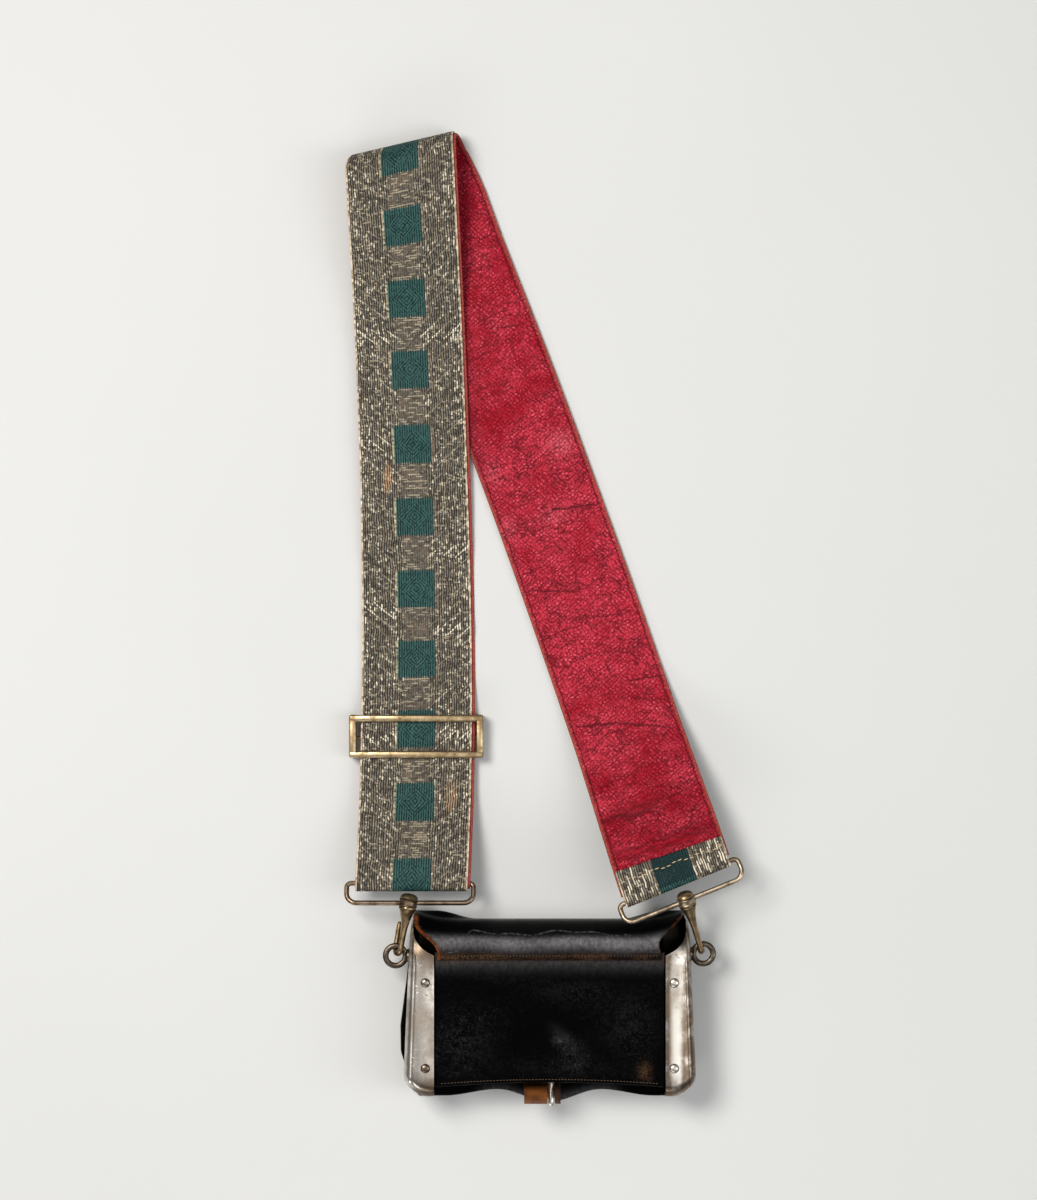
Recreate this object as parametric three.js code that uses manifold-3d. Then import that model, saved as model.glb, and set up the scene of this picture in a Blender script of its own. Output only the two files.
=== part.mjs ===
// A cartridge pouch with its shoulder belt, lying on a flat surface.
// Millimetres, +Z up. The pouch lies on its lid, so its back panel faces up and its top points to +Y.
// The belt is laid out from the top of the pouch and folded over once. The origin is on the lid's flat
// front, below the middle of the case.
import * as THREE from "three";
import { mergeVertices } from "three/addons/utils/BufferGeometryUtils.js";
import Module from "manifold-3d";

// Case
const CASE_HALF_WIDTH = 69.4;
const CASE_BOTTOM_Y = -45.6;
const CASE_TOP_Y = 42.5;
const CASE_BACK_Z = 34;
const CASE_FRONT_Z = 3;
const CASE_CORNER = 6.5;
const CASE_SHOULDER = 18;
const LEATHER = 2.2;
const SEAT = 0.3;

// End caps
const CAP_WALL = 1;
const CAP_RIM_X = 57;
const CAP_TOP_RIM_X = 67.4;
const CAP_EDGE_ROUND = 5;
const CAP_BOTTOM_ROUND = 12;
// The caps stand out more towards the bottom: how much, for each millimetre below this height.
const CAP_SPLAY = 0.045;
const CAP_SPLAY_FROM_Y = 24;
const CAP_RIM_SWEEP = 6;
const CAP_STEPS = [0, 0.28, 0.52, 0.72, 0.88, 0.97, 1];
const RIVET_RADIUS = 2.2;
const RIVET_HEIGHT = 1;
const RIVET_X = 61.2;
const RIVET_ROWS = [
  { name: "upper", y: 11.2 },
  { name: "lower", y: -30.9 },
];

// Leather between the caps
const PANEL_TOP_Y = 26;
const PANEL_BOTTOM_Y = -40.4;
const PANEL_TUCKED_BOTTOM_Y = -34;
const PANEL_TUCKED_X = 61.5;
const BOTTOM_BOW = 2.4;
const WRAP_BOTTOM_Y = -40.9;
const WRAP_FRONT_Z = 4.6;
const WRAP_HEM_Y = -31;
const WRAP_MOUTH_Y = 24;
const WRAP_BEND = 3.9;
const WRAP_COLUMNS = [
  { x: -64, lift: 2.4 },
  { x: -60, lift: 0.6 },
  { x: -56, lift: 0 },
  { x: -30, lift: 0 },
  { x: 0, lift: 0 },
  { x: 30, lift: 0 },
  { x: 56, lift: 0 },
  { x: 60, lift: 0.6 },
  { x: 64, lift: 2.4 },
];

// Lid
const LID_SEAM_Y = 22.5;
const LID_HINGE_RADIUS = 19.5;
const LID_FRONT_BEND = 8.4;
const LID_TOP_SAG = 4.2;
const LID_SAG_HALF_WIDTH = 54;
const LID_EDGE_Y = -45;
const LID_CORNER_DROP = 3.2;
const TONGUE_DEPTH = 6.2;
const TONGUE_HALF_WIDTH = 26;
const LID_COLUMNS = [-1, -0.92, -0.78, -0.67, -0.56, -0.36, -0.24, -0.12, 0, 0.12, 0.24, 0.36, 0.56, 0.67, 0.78, 0.92, 1];
// How far the lid reaches to each side, by the distance along its middle line from the seam.
const LID_SIDES = [
  { along: 0, left: 55.3, right: 55 },
  { along: 4, left: 55.4, right: 54.6 },
  { along: 6.5, left: 56.4, right: 53.8 },
  { along: 9, left: 58.6, right: 53.9 },
  { along: 11.5, left: 61.2, right: 55.4 },
  { along: 15, left: 64.8, right: 58.6 },
  { along: 18.5, left: 66.6, right: 61.6 },
  { along: 25, left: 67, right: 65 },
  { along: 38, left: 67, right: 66.8 },
  { along: 52, left: 68.6, right: 68 },
  { along: 75, left: 71, right: 69.4 },
  { along: 101, left: 74.4, right: 70 },
  { along: 114, left: 74.2, right: 69.8 },
  { along: 126, left: 70.4, right: 68.2 },
  { along: 132, left: 66, right: 65 },
  { along: 137, left: 61, right: 61 },
];

// Closing tab and stud
const TAB_HALF_WIDTH = 9;
const TAB_LEATHER = 1.8;
const TAB_ROOT_Y = -26;
const TAB_FLARE_START_Z = 16;
const TAB_END = { y: -49, z: 27.5 };
const TAB_X = -3.6;
const TAB_SLIT = { width: 3.6, fromZ: 12, length: 24 };
const STUD_X = 0.7;
const STUD_Z = 17;
const STUD_PROFILE = [
  { radius: 0, along: 0 },
  { radius: 3.6, along: 0 },
  { radius: 3.6, along: 0.9 },
  { radius: 1.3, along: 1.4 },
  { radius: 1.2, along: 7 },
  { radius: 1.9, along: 8.4 },
  { radius: 1.9, along: 11.4 },
  { radius: 1, along: 13 },
  { radius: 0, along: 13.2 },
];

// Eyes and hooks
const EYE_RADIUS = 4.9;
const EYE_WIRE = 1.45;
const EYE_Z = 18.5;
const EYE_FOOT = { radius: 3.6, height: 1.8 };
const HOOK_WIRE = 1.35;
const HOOK_BEND = EYE_WIRE + HOOK_WIRE + 0.5;
const HOOK_RETURN = 12;
const HOOK_TIP_RADIUS = 0.9;
const HOOK_SIDES = 12;
const BOSS = { radius: 4.7, waist: 4.4, half: 1.8, bore: 1.75 };
// The turned end of a hook, by the distance from the middle of the loop's boss.
const HOOK_HEAD = [
  { along: -4.7, radius: 0.8 },
  { along: -4.4, radius: 2.4 },
  { along: -3.7, radius: 3.6 },
  { along: -2.9, radius: 4.2 },
  { along: -2.2, radius: 4.4 },
  { along: -2.1, radius: 1.4 },
  { along: 2.1, radius: 1.4 },
  { along: 2.2, radius: 4.4 },
  { along: 3.6, radius: 4.2 },
  { along: 6, radius: 3.3 },
  { along: 9, radius: 2.3 },
  { along: 12, radius: 1.75 },
  { along: 15, radius: 1.6 },
];
// Each side's fittings: the eye, where on the eye the hook sits, and how the hook and the loop lie.
const SIDES = [
  {
    name: "left", sign: -1, eyeX: -76.3, eyeY: 23.2, seat: 17, heading: -9.5, roll: 24, pitch: 0,
    shank: 22.2, loopTurn: 0, loopTilt: -22, loopShift: 0.8,
  },
  {
    name: "right", sign: 1, eyeX: 76.1, eyeY: 24.2, seat: -22, heading: 17.1, roll: 0, pitch: -18.6,
    shank: 26.1, loopTurn: 22, loopTilt: -16, loopShift: -0.4,
  },
];
const LOOP = { halfWidth: 31.45, height: 10.25, wire: 1.25, lowerCorner: 5, upperCorner: 2.4, sides: 8 };

// Belt
const LACE = 1;
const LINING = 1.2;
const SEWN_GAP = 0.3;
const LACE_ON_FLOOR = LACE + SEWN_GAP / 2;
const LINING_ON_FLOOR = LINING + SEWN_GAP / 2;
const FOLD_RADIUS = 9.5;
const FOLD_TOP = { x: -73.8, y: 425.3 };
const FOLD_TURN = 13.3;
const FOLD_SKEW = 10.4;
// Each leg of the belt starts at a loop, where it lies square to the loop for a while and then turns square to
// its own way; near the fold it turns skew again.
const LEFT_LEG = { shift: 0.7, heading: -2.6, squareLength: 84, squareFade: 60, skewLength: 92 };
const RIGHT_LEG = { shift: -0.3, heading: 18.2, squareLength: 0, squareFade: 20, skewLength: 60 };
// Half widths of lace and lining, and how far the lining lies off to the right, by the distance from the loop.
const LEFT_WIDTHS = [
  { along: 0, lace: 27.75, lining: 28.5, liningShift: 0.6 },
  { along: 72, lace: 27.1, lining: 28.2, liningShift: 1.1 },
  { along: 200, lace: 26.7, lining: 27.4, liningShift: 0.9 },
  { along: 360, lace: 26.9, lining: 27.6, liningShift: 0 },
];
const RIGHT_WIDTHS = [
  { along: 0, lace: 27.75, lining: 28.6, liningShift: 0 },
  { along: 20, lace: 27.7, lining: 28.5, liningShift: 0 },
  { along: 75, lace: 26.8, lining: 27.4, liningShift: 0 },
  { along: 200, lace: 26.5, lining: 27.1, liningShift: 0 },
  { along: 360, lace: 26.9, lining: 27.6, liningShift: 0 },
];
const HEM_LENGTH = 14.5;
const LINING_END = 3;
const SLIDER_AT = 72.5;
const SLIDER_HEM = 12;
const LINING_TAIL_GAP = 3.2;
const STATION_STEP = 13;

// Slider
const SLIDER = { width: 66.8, height: 21.4, bar: 3.4, post: 3.6, barZ: 7.2, barHeight: 3 };
const SLIDER_CENTRE_BAR = { radius: 0.8, z: 2.1 };
const SLIDER_CORNER = 1.4;

// Finishes
const FINISH = {
  blackLeather: { color: 0x15130f, roughness: 0.45, metalness: 0 },
  tanLeather: { color: 0xa8601c, roughness: 0.7, metalness: 0 },
  redLeather: { color: 0xa50f2d, roughness: 0.6, metalness: 0 },
  lace: { color: 0x857c6c, roughness: 0.5, metalness: 0.4 },
  whiteMetal: { color: 0xa89f95, roughness: 0.35, metalness: 1 },
  brass: { color: 0x8c7346, roughness: 0.4, metalness: 1 },
};

const wasm = await Module();
wasm.setup();

const vec = (x, y, z) => new THREE.Vector3(x, y, z);
const radians = (degrees) => THREE.MathUtils.degToRad(degrees);
const smooth = (t) => THREE.MathUtils.smoothstep(t, 0, 1);

// A closed geometry from points and triangles, with its faces turned outwards.
function closedGeometry(points, triangles) {
  let volume = 0;
  for (const [a, b, c] of triangles) {
    volume += points[a].dot(vec(0, 0, 0).crossVectors(points[b], points[c]));
  }
  const outward = volume > 0 ? triangles : triangles.map(([a, b, c]) => [a, c, b]);
  const geometry = new THREE.BufferGeometry().setFromPoints(points);
  geometry.setIndex(outward.flat());
  return geometry;
}

// A sheet with thickness, between two grids of points with the same rows and columns.
function slab(upper, lower) {
  const rows = upper.length;
  const columns = upper[0].length;
  const points = [...upper.flat(), ...lower.flat()];
  const top = (row, column) => row * columns + column;
  const under = (row, column) => rows * columns + top(row, column);
  const triangles = [];
  const quad = (a, b, c, d) => triangles.push([a, b, c], [a, c, d]);
  for (let r = 0; r < rows - 1; r += 1) {
    for (let c = 0; c < columns - 1; c += 1) {
      quad(top(r, c), top(r, c + 1), top(r + 1, c + 1), top(r + 1, c));
      quad(under(r, c), under(r + 1, c), under(r + 1, c + 1), under(r, c + 1));
    }
    quad(top(r + 1, 0), under(r + 1, 0), under(r, 0), top(r, 0));
    quad(top(r, columns - 1), under(r, columns - 1), under(r + 1, columns - 1), top(r + 1, columns - 1));
  }
  for (let c = 0; c < columns - 1; c += 1) {
    quad(top(0, c), under(0, c), under(0, c + 1), top(0, c + 1));
    quad(top(rows - 1, c + 1), under(rows - 1, c + 1), under(rows - 1, c), top(rows - 1, c));
  }
  return closedGeometry(points, triangles);
}

// A bar through closed rings of points, capped at both ends.
function loft(rings) {
  const sides = rings[0].length;
  const points = rings.flat();
  const triangles = [];
  for (let r = 0; r < rings.length - 1; r += 1) {
    for (let s = 0; s < sides; s += 1) {
      const a = r * sides + s;
      const b = r * sides + ((s + 1) % sides);
      triangles.push([a, b, b + sides], [a, b + sides, a + sides]);
    }
  }
  const last = (rings.length - 1) * sides;
  for (let s = 1; s < sides - 1; s += 1) {
    triangles.push([0, s + 1, s], [last, last + s, last + s + 1]);
  }
  return closedGeometry(points, triangles);
}

// A round bar along stations with a centre and a radius.
function roundBar(stations, sides) {
  const tangents = stations.map((station, i) => {
    const before = stations[Math.max(i - 1, 0)].at;
    const after = stations[Math.min(i + 1, stations.length - 1)].at;
    return after.clone().sub(before).normalize();
  });
  let side = Math.abs(tangents[0].z) < 0.9 ? vec(0, 0, 1) : vec(1, 0, 0);
  const rings = stations.map((station, i) => {
    side = side.clone().addScaledVector(tangents[i], -side.dot(tangents[i])).normalize();
    const other = vec(0, 0, 0).crossVectors(tangents[i], side);
    return Array.from({ length: sides }, (unused, s) => {
      const angle = (2 * Math.PI * s) / sides;
      const reach = station.radius;
      return station.at.clone()
        .addScaledVector(side, reach * Math.cos(angle))
        .addScaledVector(other, reach * Math.sin(angle));
    });
  });
  return loft(rings);
}

function toSolid(geometry) {
  const bare = geometry.clone();
  bare.deleteAttribute("normal");
  bare.deleteAttribute("uv");
  const merged = mergeVertices(bare, 1e-4);
  return new wasm.Manifold(new wasm.Mesh({
    numProp: 3,
    vertProperties: new Float32Array(merged.attributes.position.array),
    triVerts: new Uint32Array(merged.index.array),
  }));
}

function toGeometry(solid) {
  const mesh = solid.getMesh();
  const geometry = new THREE.BufferGeometry();
  geometry.setAttribute("position", new THREE.BufferAttribute(new Float32Array(mesh.vertProperties), 3));
  geometry.setIndex(new THREE.BufferAttribute(new Uint32Array(mesh.triVerts), 1));
  return geometry;
}

const joined = (...geometries) => toGeometry(geometries.map(toSolid).reduce((a, b) => a.add(b)));
const cut = (geometry, tool) => toGeometry(toSolid(geometry).subtract(toSolid(tool)));

function piece(name, geometry, finish) {
  geometry.computeVertexNormals();
  const mesh = new THREE.Mesh(geometry, new THREE.MeshStandardMaterial(FINISH[finish]));
  mesh.name = name;
  return mesh;
}

// A value from a table's column, straight between the rows.
function lookUp(table, key, column, at) {
  const next = table.findIndex((row) => row[key] >= at);
  if (next <= 0) {
    return next === 0 ? table[0][column] : table[table.length - 1][column];
  }
  const low = table[next - 1];
  const high = table[next];
  return THREE.MathUtils.mapLinear(at, low[key], high[key], low[column], high[column]);
}

// Points of a path in the pouch's side view, as [y, z], with their normals to the left of travel.
function sidePath(curves, divisions) {
  const points = [];
  curves.forEach((curve, i) => {
    for (let step = i === 0 ? 0 : 1; step <= divisions[i]; step += 1) {
      const at = curve.getPoint(step / divisions[i]);
      const along = curve.getTangent(step / divisions[i]);
      points.push({ y: at.x, z: at.y, normalY: -along.y, normalZ: along.x });
    }
  });
  return points;
}

const line = (y0, z0, y1, z1) => new THREE.LineCurve(new THREE.Vector2(y0, z0), new THREE.Vector2(y1, z1));
const arc = (y, z, radius, from, to) => new THREE.EllipseCurve(
  y, z, radius, radius, radians(from), radians(to), to < from,
);

// The outline of the case in the side view, moved in by a wall and by the rounding at one distance from
// the middle. It starts at the bottom and runs over the back, the shoulder and the top to the front.
function caseOutline(wall, edgeInset, bottomInset) {
  const inset = wall + edgeInset;
  const bottom = CASE_BOTTOM_Y + wall + bottomInset;
  const corner = Math.max(CASE_CORNER - inset, 0.8);
  const back = CASE_BACK_Z - inset;
  const front = CASE_FRONT_Z + inset;
  const top = CASE_TOP_Y - inset;
  const shoulder = CASE_SHOULDER - inset;
  const corners = [
    { curve: arc(bottom + corner, back - corner, corner, 180, 90), steps: 3, shoulder: false },
    { curve: arc(top - shoulder, back - shoulder, shoulder, 90, 0), steps: 8, shoulder: true },
    { curve: arc(top - corner, front + corner, corner, 0, -90), steps: 3, shoulder: true },
    { curve: arc(bottom + corner, front + corner, corner, -90, -180), steps: 3, shoulder: false },
  ];
  return corners.flatMap(({ curve, steps, shoulder: open }, i) => (
    Array.from({ length: steps + 1 }, (unused, step) => {
      const at = curve.getPoint(step / steps);
      const left = 1 - step / steps;
      const onShoulder = open ? (i === 1 ? 1 - left ** CAP_RIM_SWEEP : left) : 0;
      return { y: at.x, z: at.y, open: onShoulder };
    })
  ));
}

const roundInset = (x, end, radius) => {
  const into = Math.max(x - (end - radius), 0);
  return radius - Math.sqrt(Math.max(radius * radius - into * into, 0));
};

// One skin of an end cap: rings from the flange's rim to the flat end.
function capSkin(wall) {
  const end = CASE_HALF_WIDTH - wall;
  const rims = caseOutline(0, 0, 0).map(({ open }) => (
    THREE.MathUtils.lerp(CAP_RIM_X, CAP_TOP_RIM_X, open)
  ));
  return CAP_STEPS.map((step) => rims.map((rim, j) => {
    const x = THREE.MathUtils.lerp(rim, end, step);
    const edgeInset = roundInset(x, end, CAP_EDGE_ROUND - wall);
    const bottomInset = roundInset(x, end, CAP_BOTTOM_ROUND - wall);
    const at = caseOutline(wall, edgeInset, bottomInset)[j];
    const splay = step * CAP_SPLAY * (CAP_SPLAY_FROM_Y - at.y);
    return vec(x + splay, at.y, at.z);
  }));
}

// A pressed cap: an outer and an inner skin, joined along the rim.
function endCap(side) {
  const outer = capSkin(0);
  const inner = capSkin(CAP_WALL);
  const rings = [...outer.slice().reverse(), ...inner];
  const mirrored = rings.map((ring) => ring.map((at) => vec(side.sign * at.x, at.y, at.z)));
  return piece(`end_cap_${side.name}`, loft(mirrored), "whiteMetal");
}

function rivet(side, row) {
  const dome = Array.from({ length: 5 }, (unused, i) => {
    const angle = (i / 4) * (Math.PI / 2);
    return new THREE.Vector2(RIVET_RADIUS * Math.cos(angle), RIVET_HEIGHT * Math.sin(angle));
  });
  dome[4].x = 0;
  const profile = [new THREE.Vector2(0, 0), ...dome];
  const mesh = piece(`rivet_${side.name}_${row.name}`, new THREE.LatheGeometry(profile, 12), "whiteMetal");
  mesh.rotation.x = Math.PI / 2;
  mesh.position.set(side.sign * RIVET_X, row.y, CASE_BACK_Z + SEAT / 2);
  return mesh;
}

const bottomBow = (x) => BOTTOM_BOW * Math.max(1 - (x / CAP_RIM_X) ** 2, 0);

function backPanel() {
  const top = CASE_BACK_Z - CAP_WALL - SEAT;
  const inner = CAP_RIM_X - 2 * SEAT;
  const columns = [-PANEL_TUCKED_X, -inner - 0.2, -inner, -30, 0, 30, inner, inner + 0.2, PANEL_TUCKED_X];
  const rows = [0, 0.5, 1];
  const sheet = (z) => rows.map((row) => columns.map((x) => {
    const bottom = Math.abs(x) > inner ? PANEL_TUCKED_BOTTOM_Y : PANEL_BOTTOM_Y + bottomBow(x);
    return vec(x, THREE.MathUtils.lerp(bottom, PANEL_TOP_Y, row), z);
  }));
  return piece("back_panel", slab(sheet(top), sheet(top - LEATHER)), "blackLeather");
}

// The leather from a hem under the back panel round the bottom and up the front to the mouth.
function caseWrap() {
  const half = LEATHER / 2;
  const backZ = CASE_BACK_Z - CAP_WALL - LEATHER - 2 * SEAT - half;
  const frontZ = WRAP_FRONT_Z + half;
  const sections = WRAP_COLUMNS.map(({ x, lift }) => {
    const bottom = WRAP_BOTTOM_Y + lift + bottomBow(x) + half;
    const bend = bottom + WRAP_BEND;
    const path = sidePath([
      line(WRAP_HEM_Y, backZ, bend, backZ),
      arc(bend, backZ - WRAP_BEND, WRAP_BEND, 90, 180),
      line(bottom, backZ - WRAP_BEND, bottom, frontZ + WRAP_BEND),
      arc(bend, frontZ + WRAP_BEND, WRAP_BEND, 180, 270),
      line(bend, frontZ, WRAP_MOUTH_Y, frontZ),
    ], [1, 4, 1, 4, 2]);
    return { x, path };
  });
  const skin = (offset) => sections.map(({ x, path }) => path.map((at) => (
    vec(x, at.y + offset * at.normalY, at.z + offset * at.normalZ)
  )));
  return piece("case_wrap", slab(skin(half), skin(-half)), "blackLeather");
}

// The lid's middle line in the side view, from the seam on the back over the roll to the lower edge.
function lidPath() {
  const half = LEATHER / 2;
  const seamZ = CASE_BACK_Z - CAP_WALL + half;
  const hingeY = CASE_TOP_Y - CASE_SHOULDER;
  const hingeZ = CASE_BACK_Z - CASE_SHOULDER;
  const frontZ = half;
  const topY = hingeY + LID_HINGE_RADIUS;
  const rollStart = 72;
  const roll = arc(hingeY, hingeZ, LID_HINGE_RADIUS, rollStart, 0);
  const start = roll.getPoint(0);
  const bulge = new THREE.CubicBezierCurve(
    new THREE.Vector2(LID_SEAM_Y, seamZ),
    new THREE.Vector2(LID_SEAM_Y + 3, seamZ),
    new THREE.Vector2(start.x - 3.4, start.y + 1.1),
    start,
  );
  const bend = frontZ + LID_FRONT_BEND;
  return sidePath([
    bulge,
    roll,
    line(topY, hingeZ, topY, bend),
    arc(topY - LID_FRONT_BEND, bend, LID_FRONT_BEND, 0, -90),
    line(topY - LID_FRONT_BEND, frontZ, LID_EDGE_Y, frontZ),
  ], [4, 7, 1, 4, 8]);
}

const tongue = (x) => {
  const reach = Math.min(Math.abs(x) / TONGUE_HALF_WIDTH, 1);
  const corner = smooth((Math.abs(x) - TONGUE_HALF_WIDTH) / TONGUE_HALF_WIDTH);
  return TONGUE_DEPTH * 0.5 * (1 + Math.cos(Math.PI * reach)) + LID_CORNER_DROP * corner;
};

function lid() {
  const path = lidPath();
  let along = 0;
  const rows = path.map((at, i) => {
    const before = path[Math.max(i - 1, 0)];
    along += Math.hypot(at.y - before.y, at.z - before.z);
    return { ...at, along };
  });
  const tongueStart = LID_EDGE_Y + 12;
  const skin = (offset) => rows.map((row) => LID_COLUMNS.map((column) => {
    const reach = lookUp(LID_SIDES, "along", column < 0 ? "left" : "right", row.along);
    const x = column * reach;
    // Low down, the lid sags only between the end caps
    const between = smooth((LID_SAG_HALF_WIDTH - Math.abs(x)) / 12);
    const dip = THREE.MathUtils.lerp(between, 1 - column ** 6, smooth((row.z - 7) / 8));
    const sag = LID_TOP_SAG * dip * smooth((row.y - CASE_TOP_Y + 14) / 14);
    const onFront = row.z < LEATHER && row.y < tongueStart;
    const drop = onFront ? tongue(x) * ((tongueStart - row.y) / (tongueStart - LID_EDGE_Y)) : 0;
    return vec(x, row.y - sag - drop + offset * row.normalY, row.z + offset * row.normalZ);
  }));
  return piece("lid", slab(skin(LEATHER / 2), skin(-LEATHER / 2)), "blackLeather");
}

// The tab comes out between the lid and the front wall, turns up under the bottom and stands away from it.
function closingTab() {
  const half = TAB_LEATHER / 2;
  const rootZ = LEATHER + SEAT + half;
  const bend = WRAP_FRONT_Z + 2 * WRAP_BEND - rootZ - half;
  const bottom = WRAP_BOTTOM_Y - 2 * SEAT - half;
  const path = sidePath([
    line(TAB_ROOT_Y, rootZ, bottom + bend, rootZ),
    arc(bottom + bend, rootZ + bend, bend, 270, 180),
    line(bottom, rootZ + bend, bottom, TAB_FLARE_START_Z),
    new THREE.QuadraticBezierCurve(
      new THREE.Vector2(bottom, TAB_FLARE_START_Z),
      new THREE.Vector2(bottom - 0.6, TAB_FLARE_START_Z + 6),
      new THREE.Vector2(TAB_END.y, TAB_END.z),
    ),
  ], [1, 5, 1, 5]);
  const skin = (offset) => path.map((at) => [-1, 1].map((side) => (
    vec(TAB_X + side * TAB_HALF_WIDTH, at.y + offset * at.normalY, at.z + offset * at.normalZ)
  )));
  const slit = new THREE.BoxGeometry(TAB_SLIT.width, 16, TAB_SLIT.length);
  slit.translate(STUD_X, bottom - 4, TAB_SLIT.fromZ + TAB_SLIT.length / 2);
  return piece("closing_tab", cut(slab(skin(half), skin(-half)), slit), "tanLeather");
}

function closingStud() {
  const profile = STUD_PROFILE.map(({ radius, along }) => new THREE.Vector2(radius, along));
  const mesh = piece("closing_stud", new THREE.LatheGeometry(profile, 12), "whiteMetal");
  mesh.rotation.x = Math.PI;
  mesh.rotation.order = "ZYX";
  mesh.position.set(STUD_X, WRAP_BOTTOM_Y + bottomBow(STUD_X) - SEAT, STUD_Z);
  return mesh;
}

function eye(side) {
  const ring = new THREE.TorusGeometry(EYE_RADIUS, EYE_WIRE, 8, 18);
  ring.translate(side.eyeX, side.eyeY, EYE_Z);
  const foot = new THREE.CylinderGeometry(EYE_FOOT.radius, EYE_FOOT.radius, EYE_FOOT.height, 12);
  foot.rotateZ(Math.PI / 2);
  foot.translate(side.sign * (CASE_HALF_WIDTH + SEAT + EYE_FOOT.height / 2), side.eyeY, EYE_Z);
  return piece(`eye_${side.name}`, joined(ring, foot), "brass");
}

// Where a hook's bend is centred on the eye's wire, which way its shank runs, and where the boss is.
function hookFrame(side) {
  const seat = radians(side.seat);
  const heading = radians(side.heading);
  const pitch = radians(side.pitch);
  const roll = radians(side.roll);
  const centre = vec(
    side.eyeX + EYE_RADIUS * Math.sin(seat), side.eyeY + EYE_RADIUS * Math.cos(seat), EYE_Z,
  );
  const along = vec(
    Math.sin(heading) * Math.cos(pitch), -Math.cos(heading) * Math.cos(pitch), Math.sin(pitch),
  );
  const level = vec(-Math.cos(heading), -Math.sin(heading), 0);
  const down = vec(0, 0, 0).crossVectors(along, level).normalize();
  down.multiplyScalar(Math.sign(-down.z));
  const inward = down.multiplyScalar(Math.cos(roll)).addScaledVector(level, Math.sin(roll));
  const boss = centre.clone().addScaledVector(inward, -HOOK_BEND).addScaledVector(along, -side.shank);
  return { centre, along, inward, boss };
}

function hook(side) {
  const { centre, along, inward, boss } = hookFrame(side);
  const stations = HOOK_HEAD.map((row) => (
    { at: boss.clone().addScaledVector(along, row.along), radius: row.radius }
  ));
  const bendSteps = 8;
  for (let step = 0; step <= bendSteps; step += 1) {
    const angle = (Math.PI * step) / bendSteps;
    const at = centre.clone()
      .addScaledVector(inward, -HOOK_BEND * Math.cos(angle))
      .addScaledVector(along, HOOK_BEND * Math.sin(angle));
    stations.push({ at, radius: HOOK_WIRE });
  }
  const end = centre.clone().addScaledVector(inward, HOOK_BEND);
  [0.5, 0.92, 1].forEach((share) => {
    const radius = share < 1 ? THREE.MathUtils.lerp(HOOK_WIRE, HOOK_TIP_RADIUS, share ** 4) : 0.4;
    stations.push({ at: end.clone().addScaledVector(along, -share * HOOK_RETURN), radius });
  });
  return piece(`hook_${side.name}`, roundBar(stations, HOOK_SIDES), "brass");
}

// A loop's own directions: across along its bars, and up from the lower bar to the bar in the belt.
function loopFrame(side) {
  const turn = radians(side.loopTurn);
  const tilt = radians(side.loopTilt);
  const across = vec(Math.cos(turn), Math.sin(turn), 0);
  const up = vec(
    -Math.sin(turn) * Math.cos(tilt), Math.cos(turn) * Math.cos(tilt), Math.sin(tilt),
  );
  const { boss, along } = hookFrame(side);
  const bar = boss.clone().addScaledVector(across, side.loopShift).addScaledVector(up, LOOP.height);
  return { across, up, boss, along, bar };
}

function loop(side) {
  const { across, up, boss, along } = loopFrame(side);
  const place = (x, y) => boss.clone().addScaledVector(across, x).addScaledVector(up, y);
  const left = side.loopShift - LOOP.halfWidth;
  const right = side.loopShift + LOOP.halfWidth;
  const { height, lowerCorner, upperCorner } = LOOP;
  const corners = [
    { x: left + lowerCorner, y: lowerCorner, radius: lowerCorner, from: 270 },
    { x: left + upperCorner, y: height - upperCorner, radius: upperCorner, from: 180 },
    { x: right - upperCorner, y: height - upperCorner, radius: upperCorner, from: 90 },
    { x: right - lowerCorner, y: lowerCorner, radius: lowerCorner, from: 0 },
  ];
  const wireStart = (BOSS.bore + BOSS.waist) / 2;
  const stations = [place(-wireStart, 0)];
  const cornerSteps = 4;
  corners.forEach(({ x, y, radius, from }) => {
    for (let step = 0; step <= cornerSteps; step += 1) {
      const angle = radians(from - (90 * step) / cornerSteps);
      stations.push(place(x + radius * Math.cos(angle), y + radius * Math.sin(angle)));
    }
  });
  stations.push(place(wireStart, 0));
  const wire = roundBar(stations.map((at) => ({ at, radius: LOOP.wire })), LOOP.sides);
  const profile = [
    [BOSS.bore, -BOSS.half],
    [BOSS.waist, -BOSS.half],
    [BOSS.radius, 0],
    [BOSS.waist, BOSS.half],
    [BOSS.bore, BOSS.half],
    [BOSS.bore, -BOSS.half],
  ].map(([radius, height]) => new THREE.Vector2(radius, height));
  const boss3d = new THREE.LatheGeometry(profile, 16);
  boss3d.applyQuaternion(new THREE.Quaternion().setFromUnitVectors(vec(0, 1, 0), along));
  boss3d.translate(boss.x, boss.y, boss.z);
  return piece(`loop_${side.name}`, joined(wire, boss3d), "brass");
}

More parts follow.
